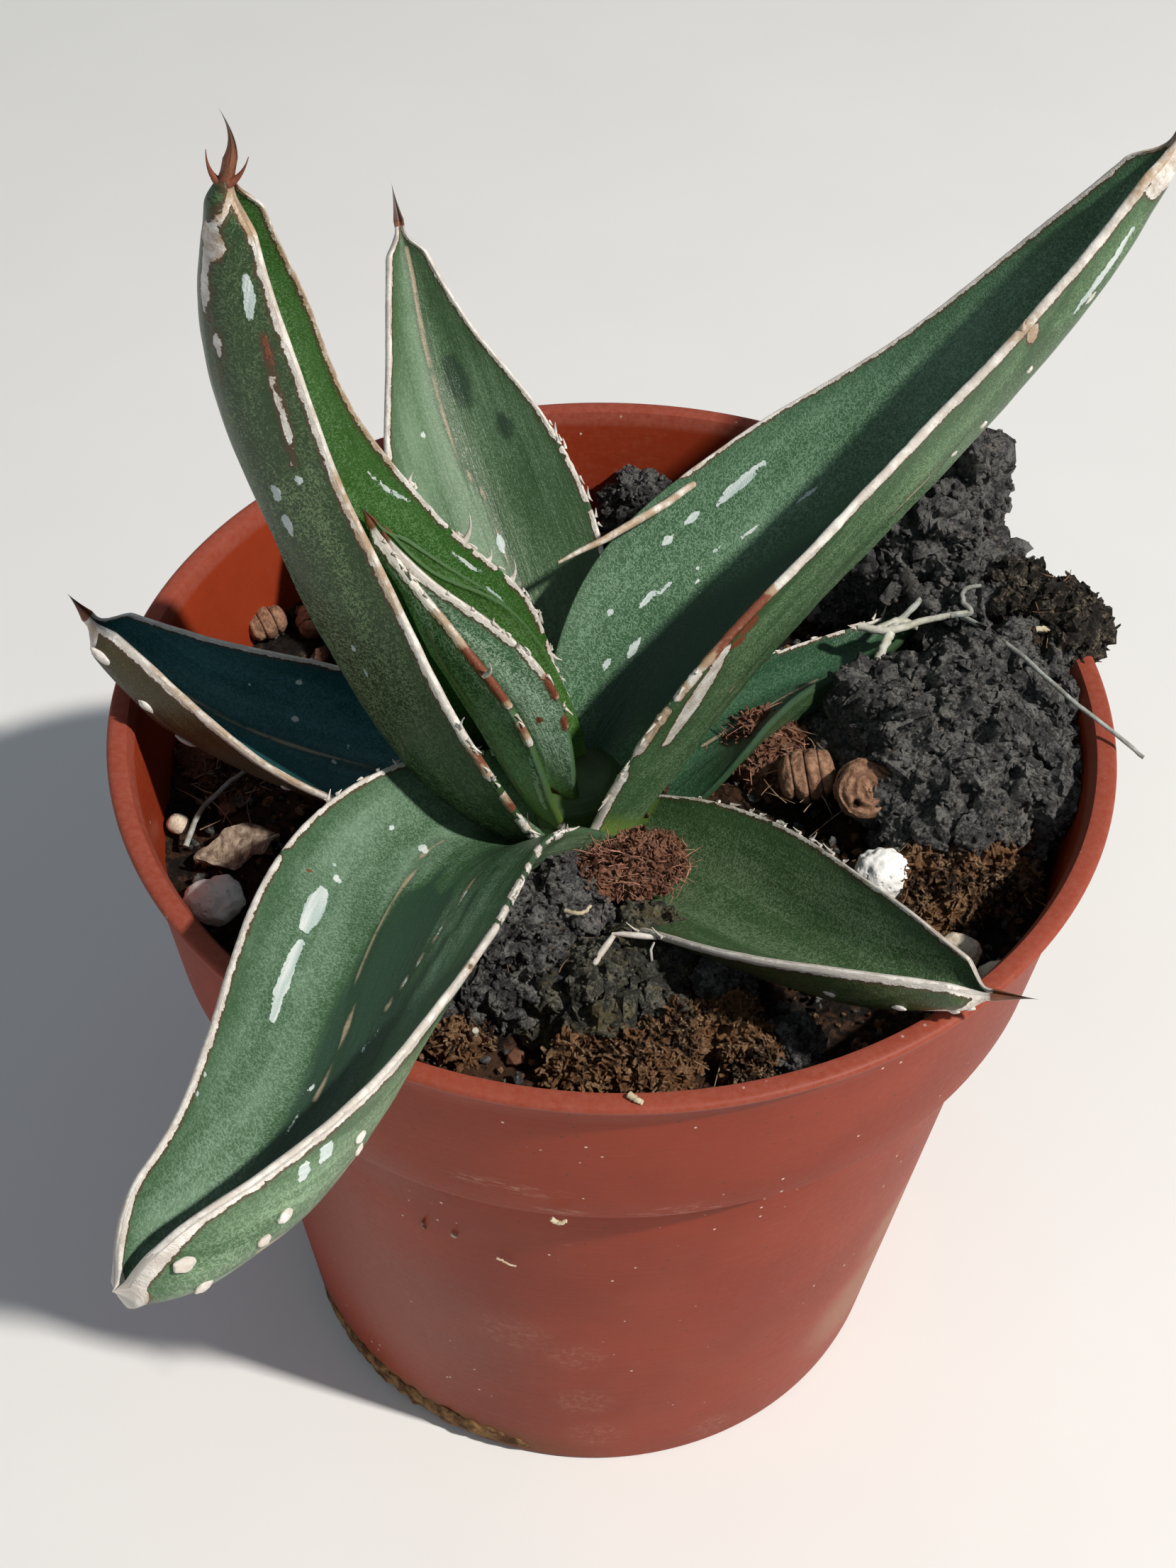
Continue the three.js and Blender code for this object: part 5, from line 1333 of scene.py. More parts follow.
def makeSoil():
    reach = innerRadius(soil["level"] + 2) - 0.15
    piece = gridSkin("soil_surface", soil["grid"], soil["grid"])
    for vertex in piece.data.vertices:       # the square grid drawn into a disc
        u, v = vertex.co.x, vertex.co.y
        x = u * math.sqrt(1 - v * v / 2) * reach
        y = v * math.sqrt(1 - u * u / 2) * reach
        rough = 0.55 * ripple(x * 0.35, y * 0.35, 2) + 0.45 * ripple(x * 0.9, y * 0.9,
                    5) + 0.25 * ripple(x * 2.1, y * 2.1, 8)
        vertex.co = Vector((x, y, soilHeight(x, y) + rough)) * mm
    pick(piece)
    bpy.ops.object.mode_set(mode="EDIT")
    bpy.ops.mesh.select_all(action="DESELECT")
    bpy.ops.mesh.select_non_manifold()
    for drop, shrink in soil["skirt"]:
        bpy.ops.mesh.extrude_region_move(TRANSFORM_OT_translate={"value": (0, 0, -drop * mm)})
        bpy.ops.transform.resize(value=(shrink, shrink, 1), center_override=(0, 0, 0))
    bpy.ops.mesh.edge_face_add()
    bpy.ops.mesh.select_all(action="SELECT")
    bpy.ops.mesh.normals_make_consistent(inside=False)
    bpy.ops.object.mode_set(mode="OBJECT")
    smoothed(piece, 50)
    return finished(piece, earths["soil"], "soil", "soil")


makeSoil()

print("stage: stem")
crown = {"at": (-4.5, -2.0), "bottom": 62.0, "top": 85.0, "radius": 6.5}


def makeCrown():
    cx, cy = crown["at"]
    deselectAll()
    bpy.ops.mesh.primitive_cylinder_add(vertices=48, radius=crown["radius"] * mm,
                depth=(crown["top"] - crown["bottom"]) * mm,
                                        location=(cx * mm, cy * mm,
                                                  (crown["top"] + crown["bottom"]) / 2 * mm))
    piece = named("stem")
    applyPlace(piece)
    bevel = piece.modifiers.new("round", "BEVEL")
    bevel.width = 3.2 * mm
    bevel.segments = 5
    applyModifiers(piece)
    smoothed(piece, 60)
    paint = Shading("pale_stem", roughness=0.5, specular=0.4)
    rings = paint.grain(paint.place((0.1, 0.1, 1.2)), 1.0, detail=4)
    colour = paint.mix(paint.span(rings, 0.35, 0.65), (0.060, 0.110, 0.030), (0.030, 0.045, 0.016))
    paint.bump(rings, 0.4, 0.6)
    return finished(piece, paint.close(colour), "leaf_base", "crown")


makeCrown()

print("stage: clods")
clods = {
    # each lobe: place, full size and turn in plan; hollows are cut out
    # the crust: kind of scrap, how many to a square millimetre, their smallest and largest size
    "clod_right": {"lobes": [((38, 2.5, 85), (22.5, 23, 15), 20), ((42.5, 9, 87), (14, 13, 13), 20),
                ((30, 6.5, 84.5), (10, 10, 11), 20),
                             ((34.6, -5, 82.0), (10, 7.5, 8), 20)],
                   "earth": "dark", "coarse": 2.6, "seed": 3, "remesh": 0.30,
                   "crust": ("crumb", 0.7, 0.3, 1.0)},
    "clod_right_foot": {"lobes": [((38.5, -10, 80.5), (12, 8, 8), 20),
                ((34.5, -11.5, 79.5), (12, 9, 7.5), 35)],
                        "earth": "brown", "coarse": 1.6, "seed": 8, "remesh": 0.34,
                        "crust": ("flake", 2.2, 0.7, 1.7)},
    "clod_back": {"lobes": [((32.5, 30.5, 88.5), (21, 12, 24), -38),
                ((38.6, 29.8, 98.5), (4.6, 3.8, 12), -38), ((35.5, 31, 96), (9, 6, 12), -38),
                            ((40.5, 23.5, 87.5), (13, 12, 13), -38), ((27.5, 37, 91), (8, 7, 16), -38)],
                  "earth": "grey", "coarse": 2.4, "seed": 5, "remesh": 0.34,
                  "crust": ("crumb", 0.5, 0.4, 1.1)},
    "clod_rim": {"lobes": [((47.6, 15.0, 92.6), (9.0, 9.6, 8), 10), ((43.8, 19.5, 92), (8, 7, 8), 10)],
                 "hollows": [((44.6, 13.8, 96.2), (6.4, 4.6, 5.4)), ((47.4, 11.2, 93.6), (3.6, 3.4, 3.0))],
                 "earth": "umber", "coarse": 1.4, "seed": 12, "remesh": 0.26, "free": True,
                 "crust": ("flake", 0.4, 0.4, 1.1)},
    "clod_fibrous": {"lobes": [((17, 5.5, 81), (6.5, 7.5, 5.5), 0)],
                     "earth": "red", "coarse": 1.2, "seed": 21, "remesh": 0.25,
                     "crust": ("flake", 3.0, 0.5, 1.4)},
    "clod_small": {"lobes": [((22, 9.5, 80.5), (5, 6, 4.5), 30)],
                   "earth": "dark", "coarse": 1.0, "seed": 23, "remesh": 0.25,
                   "crust": ("crumb", 2.0, 0.35, 0.9)},
    "clod_wall": {"lobes": [((2, 44, 83), (7, 6, 8), 0)],
                  "earth": "dark", "coarse": 1.4, "seed": 25, "remesh": 0.3,
                  "crust": ("crumb", 1.5, 0.35, 0.9)},
    "clod_on_leaf": {"lobes": [((3.8, -15.2, 85.2), (7.0, 5.6, 3.6), 30),
                ((-0.4, -17.0, 84.8), (5.2, 3.6, 2.8), 12)],
                     "earth": "red", "coarse": 0.8, "seed": 31, "remesh": 0.24, "free": True,
                     "crust": ("flake", 5.0, 0.4, 1.2)},
    "clod_front_a": {"lobes": [((-11, -25.5, 80.2), (15, 13, 12), 20), ((-6, -19.5, 81.5), (10, 9, 9), 20)],
                     "hollows": [((-6.6, -26.6, 86.2), (2.6, 2.2, 3.0)),
                                 ((-8.9, -30.6, 84.2), (4.4, 3.4, 3.8)),
                                 ((-3.4, -24.0, 86.4), (2.2, 3.0, 2.2)),
                                 ((-13.0, -29.0, 84.8), (2.4, 3.0, 2.6))],
                     "earth": "dark", "coarse": 2.1, "seed": 41, "remesh": 0.28,
                     "crust": ("crumb", 0.9, 0.25, 0.9)},
    "clod_front_b": {"lobes": [((0.5, -30.0, 79.8), (14, 10, 10), -15), ((5, -25, 80.5), (9, 8, 8), -15)],
                     "earth": "olive", "coarse": 2.1, "seed": 43, "remesh": 0.28,
                     "crust": ("crumb", 0.9, 0.25, 0.9)},
    "clod_front_foot": {"lobes": [((3.6, -36.6, 80.0), (8.5, 4.2, 6.0), 4),
                ((-2.0, -37.4, 79.2), (4.5, 3.4, 4), 0), ((7.6, -34.6, 81), (3.6, 3.4, 5.5), 0)],
                        "earth": "brown", "coarse": 1.4, "seed": 47, "remesh": 0.28,
                        "crust": ("flake", 2.8, 0.6, 1.6)},
    "clod_front_d": {"lobes": [((12.6, -31.0, 79.5), (4.6, 6, 7.5), 10), ((14.6, -34.5, 79.5), (4, 5, 5), 0)],
                     "earth": "brown", "coarse": 1.3, "seed": 53, "remesh": 0.25,
                     "crust": ("flake", 2.8, 0.5, 1.4)},
    "clod_front_flake": {"lobes": [((11.9, -29.0, 84.2), (4.2, 1.8, 7.0), 15),
                ((13.2, -29.6, 82.4), (3.0, 2.0, 5.0), 0)],
                         "earth": "dark", "coarse": 0.8, "seed": 55, "remesh": 0.22,
                         "crust": ("crumb", 2.6, 0.3, 0.8)},
    "clod_front_e": {"lobes": [((18.5, -33.5, 79.5), (6, 4, 4), 15)],
                     "earth": "dark", "coarse": 1.0, "seed": 59, "remesh": 0.22,
                     "crust": ("crumb", 2.2, 0.3, 0.8)},
    "clod_front_left": {"lobes": [((-13.8, -34.2, 78.6), (4.4, 4.4, 3.2), 0)],
                        "earth": "brown", "coarse": 1.2, "seed": 57, "remesh": 0.26,
                        "crust": ("flake", 2.4, 0.5, 1.5)},
    "peat_tuft": {"lobes": [((-14.5, -9, 84.5), (8, 3.2, 3), -12)],
                  "earth": "red", "coarse": 0.8, "seed": 61, "remesh": 0.2, "free": True,
                  "crust": ("flake", 3.0, 0.3, 0.8)},
    "crumb_left": {"lobes": [((-45.2, 4, 79), (3.5, 5.5, 3), 10)],
                   "earth": "red", "coarse": 0.8, "seed": 67, "remesh": 0.2,
                   "crust": ("flake", 3.0, 0.4, 1.2)},
    "crumb_left_low": {"lobes": [((-41, -1, 79.2), (5, 3, 2.4), 15)],
                       "earth": "brown", "coarse": 0.7, "seed": 71, "remesh": 0.2,
                       "crust": ("flake", 3.0, 0.4, 1.1)},
}


def peatSlot(earth):
    return "peat_dark" if earth in ("dark", "grey", "olive") else "peat_brown"


def keepInPot(piece):  # nothing on the soil passes through the wall
    for vertex in piece.data.vertices:
        x, y, z = vertex.co / mm
        if z < pot["height"] + 0.3:
            most = innerRadius(min(z, pot["height"])) - 0.25
            reach = math.hypot(x, y)
            if reach > most:
                vertex.co.x *= most / reach
                vertex.co.y *= most / reach


def roughen(piece, coarse, seed):  # lumps, crumbs and pits, pushed in and out of the surface
    layers = [("CLOUDS", coarse * 2.2, coarse * 1.5), ("VORONOI", coarse * 1.3, coarse * -0.46),
              ("MUSGRAVE", coarse * 0.8, coarse * 0.52), ("VORONOI", 1.7, 0.8), ("CLOUDS", 0.5, 0.55)]
    for i, (kind, size, strength) in enumerate(layers):
        texture = bpy.data.textures.new("rough", kind)
        texture.noise_scale = size * mm
        if kind == "CLOUDS":
            texture.noise_depth = 4
        if kind == "MUSGRAVE":
            texture.musgrave_type = "HYBRID_MULTIFRACTAL"
            texture.octaves = 5
            texture.dimension_max = 0.7
        layer = piece.modifiers.new("rough", "DISPLACE")
        layer.texture = texture
        layer.texture_coords = "OBJECT"
        layer.texture_coords_object = roughAnchor(seed + i)
        layer.strength = strength * mm
        layer.mid_level = 0.5
    applyModifiers(piece)


anchors = {}


def roughAnchor(seed):  # an empty that shifts the pattern from one clod to the next
    if seed not in anchors:
        anchor = bpy.data.objects.new("shift", None)
        anchor.location = Vector((seed * 7.3, seed * 3.1, seed * 5.7)) * mm
        bpy.context.collection.objects.link(anchor)
        anchors[seed] = anchor
    return anchors[seed]


def makeScraps():  # the two small shapes that the crusts are made of: a crumb and a curled flake
    deselectAll()
    bpy.ops.mesh.primitive_ico_sphere_add(subdivisions=1, radius=0.5 * mm)
    crumb = named("crumb")
    flake = gridSkin("flake", 2, 1)
    for vertex in flake.data.vertices:
        u, v = vertex.co.x, vertex.co.y
        vertex.co = Vector((0.75 * u, 0.30 * v * (1 - 0.45 * u * u), 0.42 * u * u + 0.1 * u * v)) * mm
    thick = flake.modifiers.new("thickness", "SOLIDIFY")
    thick.thickness = 0.16 * mm
    thick.offset = 0
    applyModifiers(flake)
    return {"crumb": crumb, "flake": flake}


def addCrust(piece, scrap, density, small, large,
            seed):  # scatters scraps over a clod and makes them part of it
    group = bpy.data.node_groups.new("crust", "GeometryNodeTree")
    for way in ("INPUT", "OUTPUT"):
        group.interface.new_socket("Geometry", in_out=way, socket_type="NodeSocketGeometry")
    start, end = group.nodes.new("NodeGroupInput"), group.nodes.new("NodeGroupOutput")
    spread = group.nodes.new("GeometryNodeDistributePointsOnFaces")
    spread.inputs["Density"].default_value = density / mm ** 2
    spread.inputs["Seed"].default_value = seed
    source = group.nodes.new("GeometryNodeObjectInfo")
    source.inputs["Object"].default_value = scrap
    turn, grow = (group.nodes.new("FunctionNodeRandomValue") for _ in range(2))
    for number, (node, low, high) in enumerate(((turn, 0.0, 6.28), (grow, small, large))):
        node.data_type = "FLOAT_VECTOR"
        node.inputs[0].default_value = (low, low, low)
        node.inputs[1].default_value = (high, high, high)
        node.inputs["Seed"].default_value = seed + number
    put = group.nodes.new("GeometryNodeInstanceOnPoints")
    real = group.nodes.new("GeometryNodeRealizeInstances")
    both = group.nodes.new("GeometryNodeJoinGeometry")
    for output, socket in ((start.outputs[0], spread.inputs["Mesh"]),
                (spread.outputs["Points"], put.inputs["Points"]),
                           (source.outputs["Geometry"], put.inputs["Instance"]),
                           (turn.outputs[0], put.inputs["Rotation"]),
                           (grow.outputs[0], put.inputs["Scale"]), (put.outputs["Instances"], real.inputs[0]),
                           (real.outputs[0], both.inputs[0]), (start.outputs[0], both.inputs[0]),
                           (both.outputs[0], end.inputs[0])):
        group.links.new(output, socket)
    layer = piece.modifiers.new("crust", "NODES")
    layer.node_group = group
    applyModifiers(piece)


def hollowOut(piece, hollows):
    for at, size in hollows:
        deselectAll()
        bpy.ops.mesh.primitive_ico_sphere_add(subdivisions=3, radius=0.5, location=Vector(at) * mm,
                    scale=Vector(size) * mm)
        cutter = named("hollow")
        cut = piece.modifiers.new("hollow", "BOOLEAN")
        cut.operation = "DIFFERENCE"
        cut.object = cutter
        cut.solver = "EXACT"
        applyModifiers(piece)
        bpy.data.objects.remove(cutter)


facesKept = 0.45  # share of a clod's faces that stays under its crust


def makeClod(name, clod):
    lobes = []
    for at, size, turn in clod["lobes"]:
        deselectAll()
        bpy.ops.mesh.primitive_ico_sphere_add(subdivisions=4, radius=0.5, location=Vector(at) * mm,
                                              rotation=(0, 0, math.radians(turn)), scale=Vector(size) * mm)
        lobes.append(named("lobe"))
    for lobe in lobes:
        applyPlace(lobe)
    piece = joined(name + "_earth", lobes)
    remesh = piece.modifiers.new("skin", "REMESH")
    remesh.mode = "VOXEL"
    remesh.voxel_size = clod["remesh"] * mm
    applyModifiers(piece)
    hollowOut(piece, clod.get("hollows", []))
    roughen(piece, clod["coarse"], clod["seed"])
    thin = piece.modifiers.new("fewer_faces", "DECIMATE")
    thin.ratio = facesKept
    applyModifiers(piece)
    scrap, density, small, large = clod["crust"]
    addCrust(piece, scraps[scrap], density, small, large, clod["seed"])
    if not clod.get("free"):
        keepInPot(piece)
    smoothed(piece, 50)
    nodes = [name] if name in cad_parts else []
    return finished(piece, earths[clod["earth"]], peatSlot(clod["earth"]), *nodes)


scraps = makeScraps()
for name, clod in clods.items():
    makeClod(name, clod)
for helper in (*anchors.values(), *scraps.values()):
    bpy.data.objects.remove(helper)

print("stage: bark")
barks = {
    "bark_left": {"at": (21.0, -0.4, 84.0), "radius": 2.9, "length": 6.2, "heading": 5, "pitch": 12,
                "rings": 4},
    "bark_right": {"at": (26.8, -4.2, 86.2), "radius": 3.3, "length": 6.0, "heading": -84, "pitch": 40,
                "rings": 2, "face": 0.22, "hole": (-2.3, 0.55)},
    "curl_left": {"at": (-40.6, 24.3, 80), "radius": 1.9, "length": 4.8, "heading": 30, "pitch": 10,
                "rings": 3},
    "curl_right": {"at": (-35.4, 25, 80), "radius": 1.8, "length": 4.0, "heading": 100, "pitch": 20,
                "rings": 3},
}


def barkMaterial():
    paint = Shading("ringed_bark", roughness=0.75, specular=0.3)
    place = paint.place()
    grain = paint.grain(place, 1.1, detail=5, rough=0.7)
    fine = paint.grain(place, 4.0, detail=3, rough=0.7)
    hollow = paint.split(paint.attribute("groove"))[0]
    colour = paint.mix(paint.span(grain, 0.35, 0.65), (0.170, 0.082, 0.048), (0.400, 0.225, 0.140))
    # painted shade: near-black in the grooves between the rings and in the pit of the cut end
    colour = paint.mix(paint.span(hollow, 0.35, 0.9), colour, (0.035, 0.016, 0.010))
    paint.bump(grain, 0.5, 0.7)
    paint.bump(fine, 0.15, 0.7)
    return paint.close(colour)


barkPaint = barkMaterial()


def makeBark(name, bark):
    columns, around = 72, 44
    piece = gridSkin(name + "_chunk", columns, around)
    heading, pitch = math.radians(bark["heading"]), math.radians(bark["pitch"])
    forward = Vector((math.cos(pitch) * math.cos(heading), math.cos(pitch) * math.sin(heading),
                math.sin(pitch)))
    sideways = Vector((-math.sin(heading), math.cos(heading), 0))
    upward = forward.cross(sideways)
    groove = []
    face = bark.get("face", 0.0)     # share of the length that is drawn in to make a flat end with rings
    for vertex in piece.data.vertices:
        s, angle = (vertex.co.x + 1) / 2, math.pi * (vertex.co.y + 1)
        body = clamp((s - 0.02) / 0.96)
        ring = abs(math.sin(math.pi * bark["rings"] * body))
        barrel = (0.66 + 0.34 * math.sin(math.pi * body)) * (0.86 + 0.14 * ring ** 0.5)
        cap = min(1.0, s / 0.10, (1 - s) / 0.10)
        radius = bark["radius"] * barrel * math.sqrt(clamp(1 - (1 - cap) ** 2))
        # the groove value marks the ring grooves, the sunken rings of the cut end and its pit, for painted
        # shade
        dark = clamp(1 - ring * 2.2) * (cap >= 1)
        if s > 1 - face:
            inward = (1 - s) / face
            radius = bark["radius"] * 0.82 * inward ** 0.8
            relief = 0.16 * math.sin(radius * 6.2 + 1.2 * math.sin(2 * angle + 1))
            pit = math.dist((radius * math.cos(angle), radius * math.sin(angle)),
                            (bark["radius"] * bark["hole"][1] * math.cos(bark["hole"][0]),
                             bark["radius"] * bark["hole"][1] * math.sin(bark["hole"][0])))
            hollow = 1.1 * clamp(1 - pit / 0.62)
            dark = max(clamp(-relief * 6 - 0.2) * 0.7, clamp(hollow * 2))
            s = 1 - face * 0.55 - face * 0.45 * inward ** 3 + (relief - hollow) / bark["length"]
        rough = 0.14 * ripple(s * 6, math.cos(angle) * 1.4 + bark["heading"], math.sin(angle) * 1.4)
        rough += 0.05 * ripple(s * 14, math.cos(angle) * 4 + bark["heading"], math.sin(angle) * 4)
        point = Vector(bark["at"]) + forward * ((s - 0.5) * bark["length"])
        point += (sideways * math.cos(angle) + upward * math.sin(angle)) * (radius * (1 + rough))
        vertex.co = point * mm
        groove.append((dark, 0, 0))
    setAttribute(piece, "groove", groove)
    closeSkin(piece)
    smoothed(piece, 70)
    return finished(piece, barkPaint, "bark", name)


for name, bark in barks.items():
    makeBark(name, bark)

print("stage: perlite and grit")
grains = {
    "perlite_right": {"at": (28.8, -13.0, 82.2), "size": (6.4, 6.0, 6.0), "tone": "white", "seed": 81},
    "perlite_rim_a": {"at": (36.2, -21.2, 80.2), "size": (4.8, 4.2, 4.2), "tone": "cream", "seed": 83},
    "perlite_rim_b": {"at": (39.6, -25, 81), "size": (3.9, 3.8, 3.8), "tone": "cream", "seed": 87},
    "perlite_left": {"at": (-40.4, -18, 79.6), "size": (6.4, 5.4, 4.8), "tone": "white", "seed": 89},
    "perlite_left_small": {"at": (-46, -7, 79), "size": (2.4, 2.4, 2.2), "tone": "cream", "seed": 91},
    "perlite_grey": {"at": (23.6, 14.4, 79.8), "size": (5.8, 4.2, 2.8), "tone": "grey", "seed": 93},
    "grit_grey": {"at": (23.8, 31.5, 79.6), "size": (4, 4.2, 4), "tone": "grey", "seed": 97},
}


def grainMaterial(name, light, shade):
    paint = Shading(name, roughness=0.9, specular=0.2)
    place = paint.place()
    blotch = paint.grain(place, 0.7, detail=5, rough=0.7)
    pits = paint.cells(place, 1.2)
    fine = paint.grain(place, 3.0, detail=4, rough=0.7)
    colour = paint.mix(paint.span(blotch, 0.48, 0.72), light, shade)
    colour = paint.mix(paint.span(pits, 0.0, 0.16, 0.6, 0.0), colour, shade)
    paint.bump(paint.span(pits, 0.0, 0.3), 0.25, 0.6)
    paint.bump(fine, 0.2, 0.6)
    return paint.close(colour)


grainPaints = {
    "white": grainMaterial("white_perlite", (0.98, 0.975, 0.96), (0.86, 0.84, 0.81)),
    "cream": grainMaterial("cream_perlite", (0.76, 0.65, 0.52), (0.50, 0.38, 0.28)),
    "grey": grainMaterial("grey_grit", (0.30, 0.30, 0.29), (0.12, 0.11, 0.10)),
}


def makeGrain(name, grain):
    deselectAll()
    bpy.ops.mesh.primitive_ico_sphere_add(subdivisions=5, radius=0.5, location=Vector(grain["at"]) * mm,
                scale=Vector(grain["size"]) * mm)
    piece = named(name + "_stone")
    applyPlace(piece)
    seed = grain["seed"]
    centre = Vector(grain["at"])
    for vertex in piece.data.vertices:
        away = vertex.co / mm - centre
        x, y, z = away
        push = 0.15 * ripple(x * 0.50 + seed, y * 0.50, z * 0.50) + 0.08 * ripple(x * 1.2, y * 1.2 + seed,
                    z * 1.2)
        push -= 0.055 * abs(ripple(x * 2.2, y * 2.2, z * 2.2 + seed))
        vertex.co = (centre + away * (1 + push)) * mm
    keepInPot(piece)
    smoothed(piece, 60)
    slot = "grit" if name.startswith("grit") else "perlite"
    return finished(piece, grainPaints[grain["tone"]], slot, name)


for name, grain in grains.items():
    makeGrain(name, grain)

print("stage: roots, fibres and crumbs")
roots = {
    "root_fibre": {"points": [(34, 20.5, 90.0), (38.6, 15, 93.2), (42.5, 8.3, 95.2), (47.2, 1.2, 95.6),
                (52, -2.9, 94.4), (54.6, -5.2, 93.6)],
                   "radius": 0.32, "tone": "grey", "slot": "root"},
    "root_fibre_white": {"points": [(26.7, 16.8, 90.2), (29.8, 15.6, 90.8), (33.9, 16.5, 91.8),
                (38.5, 16.1, 93.6)],
                         "radius": 0.50, "tone": "white"},
    "root_branch": {"points": [(29.8, 15.6, 90.8), (33.0, 19.3, 91.6), (34.5, 21.1, 92.2),
                (37.0, 20.8, 92.7)],
                    "radius": 0.42, "tone": "grey"},
    "root_stub": {"points": [(30.2, 16.0, 90.8), (29.4, 14.2, 90.0), (28.7, 13.1, 88.8)], "radius": 0.62,
                "tone": "white"},
    "root_hook": {"points": [(36.5, 16.3, 92.8), (38.5, 16.1, 93.6), (37.6, 17.2, 94.2), (37.9, 18.6, 94.7),
                (39.6, 18.8, 95.1)],
                  "radius": 0.36, "tone": "grey"},
    "root_side": {"points": [(28.6, 16.0, 90.4), (31.0, 16.8, 91.2), (33.0, 16.2, 91.0)], "radius": 0.55,
                "tone": "white"},
    "wall_curl": {"points": [(-9.7, -42.7, 53.3), (-9.0, -42.75, 52.9), (-8.3, -42.8, 52.3),
                (-7.6, -42.9, 52.2)], "radius": 0.13, "tone": "cream"},
    "wall_bit": {"points": [(-14.5, -41.25, 55.2), (-13.9, -41.45, 54.9)], "radius": 0.20, "tone": "cream"},
    "wall_dark_curl": {"points": [(-17.5, -40.2, 55.6), (-17.7, -39.9, 54.6), (-17.3, -39.9, 53.8)],
                "radius": 0.17, "tone": "brown", "slot": "root"},
    "step_bits": {"points": [(-3.9, -48.75, 70.3), (-3.2, -48.95, 69.9), (-2.4, -48.9, 70.2)],
                "radius": 0.28, "tone": "cream"},
    "pale_straw": {"points": [(45.0, 11.9, 95.2), (45.8, 11.8, 95.4), (46.6, 11.8, 95.3)], "radius": 0.42,
                "tone": "cream"},
    "pale_bit_front": {"points": [(-12.3, -35.0, 81.2), (-12.1, -35.4, 82.2)], "radius": 0.45,
                "tone": "white"},
    "pale_bit_rim": {"points": [(2.9, -50.5, 93.35), (3.5, -50.9, 93.3), (4.1, -51.2, 93.25)],
                "radius": 0.36, "tone": "cream"},
    "pale_curl_a": {"points": [(-3.9, -23.6, 86.9), (-2.8, -24.2, 87.3), (-1.9, -23.8, 87.2),
                (-1.4, -23.2, 87.5)], "radius": 0.26, "tone": "cream"},
    "root_fibre_left": {"points": [(-44.6, -10.5, 79.4), (-43.5, -6.5, 80.7), (-40.5, -2.2, 81.4),
                (-38.5, 0.5, 80.6)],
                        "radius": 0.34, "tone": "grey", "slot": "root"},
}


def rootMaterial(name, light, shade):
    paint = Shading(name, roughness=0.6, specular=0.35)
    tone = paint.grain(paint.place(), 0.8, detail=5, rough=0.7)
    fine = paint.grain(paint.place(), 5.0, detail=3)
    paint.bump(fine, 0.08, 0.6)
    return paint.close(paint.mix(paint.span(tone, 0.35, 0.65), light, shade))


rootPaints = {
    "grey": rootMaterial("grey_root", (0.42, 0.45, 0.43), (0.22, 0.21, 0.18)),
    "white": rootMaterial("white_root", (0.70, 0.69, 0.62), (0.46, 0.46, 0.36)),
    "cream": rootMaterial("cream_straw", (0.66, 0.58, 0.42), (0.42, 0.33, 0.20)),
    "brown": rootMaterial("brown_fibre", (0.300, 0.170, 0.090), (0.100, 0.050, 0.028)),
    "straw": rootMaterial("straw_fibre", (0.38, 0.27, 0.17), (0.18, 0.11, 0.065)),
    "rust": rootMaterial("rust_fibre", (0.520, 0.245, 0.165), (0.130, 0.050, 0.034)),
}


def smoothPath(points, parts=6):  # a smooth line through a few points
    made = []
    for k in range(3):
        made.append([p[k] for p in points])
    count = (len(points) - 1) * parts
    return [Vector((along(made[0], i / count), along(made[1], i / count),
                along(made[2], i / count))) for i in range(count + 1)]


for name, root in roots.items():
    path = smoothPath(root["points"])
    rows = [[(p + Vector((0.12 * ripple(i * 0.5, 1, 2), 0.12 * ripple(i * 0.5, 3, 4),
                0.1 * ripple(i * 0.5, 5, 6))),
              1 - 0.35 * (i / len(path)) + 0.15 * ripple(i * 0.9, 2, 8)) for i, p in enumerate(path)]]
    piece = strands(name + "_thread", rows, root["radius"], sides=2)
    smoothed(piece, 80)
    nodes = [name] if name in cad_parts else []
    finished(piece, rootPaints[root["tone"]], root.get("slot", "root_pale"), *nodes)

# Fine threads that stick out of the clods: place, reach, count, length, thickness, tone and seed
tufts = [
    {"at": (36, -11, 82), "reach": (8, 5, 3), "count": 70, "length": 3.2, "thickness": 0.10,
     "tone": "brown", "seed": 1},
    {"at": (2.2, -15.8, 86.0), "reach": (5.0, 2.8, 1.6), "count": 620, "length": 2.9, "thickness": 0.085,
     "tone": "rust", "seed": 2},
    {"at": (2.5, -37, 81), "reach": (7, 3, 2), "count": 40, "length": 2.4, "thickness": 0.10,
     "tone": "straw", "seed": 3},
    {"at": (11.5, -28, 82), "reach": (3, 4, 3), "count": 50, "length": 2.4, "thickness": 0.09,
     "tone": "brown", "seed": 4},
    {"at": (17, 5.5, 82.5), "reach": (4, 4, 2.5), "count": 240, "length": 2.3, "thickness": 0.085,
     "tone": "rust", "seed": 5},
    {"at": (-14.5, -9, 85), "reach": (5, 1.8, 1.4), "count": 60, "length": 2.4, "thickness": 0.09,
     "tone": "brown", "seed": 6},
    {"at": (46.5, 15, 95), "reach": (5, 5, 4), "count": 24, "length": 2.0, "thickness": 0.08,
     "tone": "brown", "seed": 7},
    {"at": (-9, -25, 83), "reach": (7, 6, 4), "count": 60, "length": 2.6, "thickness": 0.08,
     "tone": "brown", "seed": 8},
    {"at": (-41, 2, 80), "reach": (5, 10, 1), "count": 60, "length": 3.4, "thickness": 0.10,
     "tone": "straw", "seed": 9},
    {"at": (24, 2, 83), "reach": (7, 7, 2), "count": 60, "length": 2.6, "thickness": 0.08, "tone": "straw",
     "seed": 10},
]


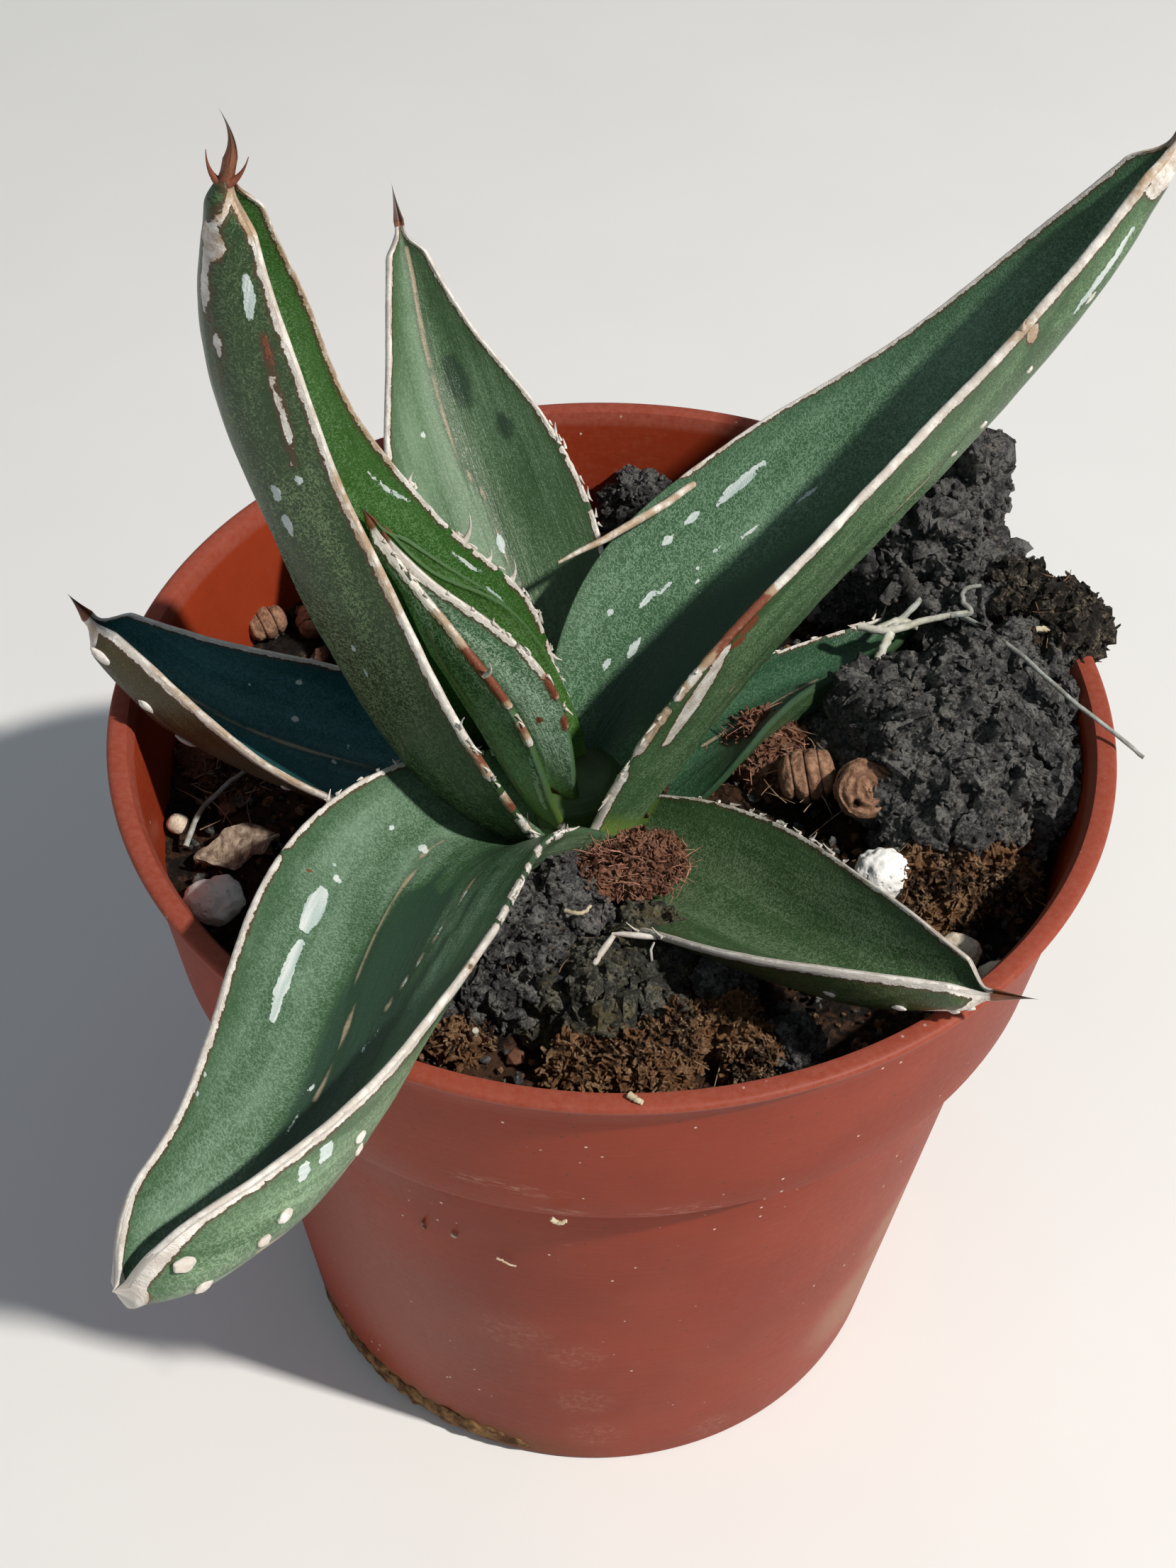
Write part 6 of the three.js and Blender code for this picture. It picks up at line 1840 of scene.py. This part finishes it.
def makeTuft(tuft, number):
    rng = random.Random(100 + tuft["seed"])
    rows = []
    for _ in range(tuft["count"]):
        offset = Vector([rng.gauss(0, 0.45) * r for r in tuft["reach"]])
        start = Vector(tuft["at"]) + offset
        heading = rng.uniform(0, 2 * math.pi)
        slope = rng.uniform(-0.25, 0.6)
        direction = Vector((math.cos(heading), math.sin(heading), slope)).normalized()
        bend = Vector((rng.uniform(-1, 1), rng.uniform(-1, 1), rng.uniform(-0.9, 0.3)))
        length = tuft["length"] * rng.uniform(0.4, 1.3)
        rows.append([(start + direction * length * (f - 0.3) + bend * (0.45 * length * f * f),
                    1 - 0.6 * f) for f in (0, 0.25, 0.5, 0.75, 1)])
    piece = strands(f"peat_threads_{number}", rows, tuft["thickness"], sides=0)
    return finished(piece, rootPaints[tuft["tone"]], "peat_brown")


for number, tuft in enumerate(tufts):
    makeTuft(tuft, number)

litter = {
    "dark": {"count": 900, "size": (0.35, 1.3), "seed": 31},
    "brown": {"count": 700, "size": (0.3, 1.1), "seed": 32},
    "red": {"count": 260, "size": (0.4, 1.2), "seed": 33},
}


def makeLitter(name, row):  # loose crumbs over the soil: one crumb copied, turned and scaled
    rng = random.Random(row["seed"])
    deselectAll()
    bpy.ops.mesh.primitive_ico_sphere_add(subdivisions=1, radius=0.5 * mm)
    first = named("crumb")
    for vertex in first.data.vertices:
        vertex.co *= rng.uniform(0.75, 1.25)
    copies = []
    for number in range(row["count"]):
        reach = (innerRadius(soil["level"]) - 1.6) * math.sqrt(rng.random())
        angle = rng.uniform(0, 2 * math.pi)
        x, y = reach * math.cos(angle), reach * math.sin(angle)
        size = rng.uniform(*row["size"]) * rng.choice((0.6, 1, 1, 1.5))
        copy = first
        if number:
            copy = first.copy()
            copy.data = first.data.copy()
            bpy.context.collection.objects.link(copy)
            copies.append(copy)
        copy.location = Vector((x, y, soilHeight(x, y) + 0.35 * size + 0.25)) * mm
        copy.rotation_euler = [rng.uniform(0, 6.28) for _ in range(3)]
        copy.scale = [size * rng.uniform(0.6, 1.4) for _ in range(3)]
    piece = joined(f"crumbs_{name}", [first, *copies])
    applyPlace(piece)
    return finished(piece, earths[name], peatSlot(name))


for name, row in litter.items():
    makeLitter(name, row)

print("stage: dry scrap")
scrap = {"at": (-39, -11, 79.6), "size": (9, 4.5), "turn": 25, "seed": 73}


def makeScrap():
    piece = gridSkin("dry_scrap", 60, 34)
    turn = math.radians(scrap["turn"])
    for vertex in piece.data.vertices:
        u, v = vertex.co.x, vertex.co.y
        width = (1 - 0.75 * u * u) * (1 + 0.25 * ripple(u * 3, 4, 1))
        x = u * scrap["size"][0] / 2
        y = v * scrap["size"][1] / 2 * width + 0.6 * ripple(u * 2, 7, 3)
        z = 0.9 * (v * v) + 0.7 * math.sin(u * 3.2 + v) + 0.35 * ripple(u * 5, v * 4, scrap["seed"])
        px = scrap["at"][0] + x * math.cos(turn) - y * math.sin(turn)
        py = scrap["at"][1] + x * math.sin(turn) + y * math.cos(turn)
        vertex.co = Vector((px, py, scrap["at"][2] + z)) * mm
    thick = piece.modifiers.new("thickness", "SOLIDIFY")
    thick.thickness = 0.35 * mm
    thick.offset = 0
    applyModifiers(piece)
    smoothed(piece, 60)
    paint = Shading("dry_scrap", roughness=0.85, specular=0.2)
    vein = paint.grain(paint.place((1, 0.3, 1)), 1.2, detail=5, rough=0.7)
    paint.bump(vein, 0.5, 0.7)
    return finished(piece, paint.close(paint.mix(paint.span(vein, 0.35, 0.65), (0.42, 0.33, 0.25),
                (0.16, 0.11, 0.08))), "dry_scrap", "scrap_left")


makeScrap()
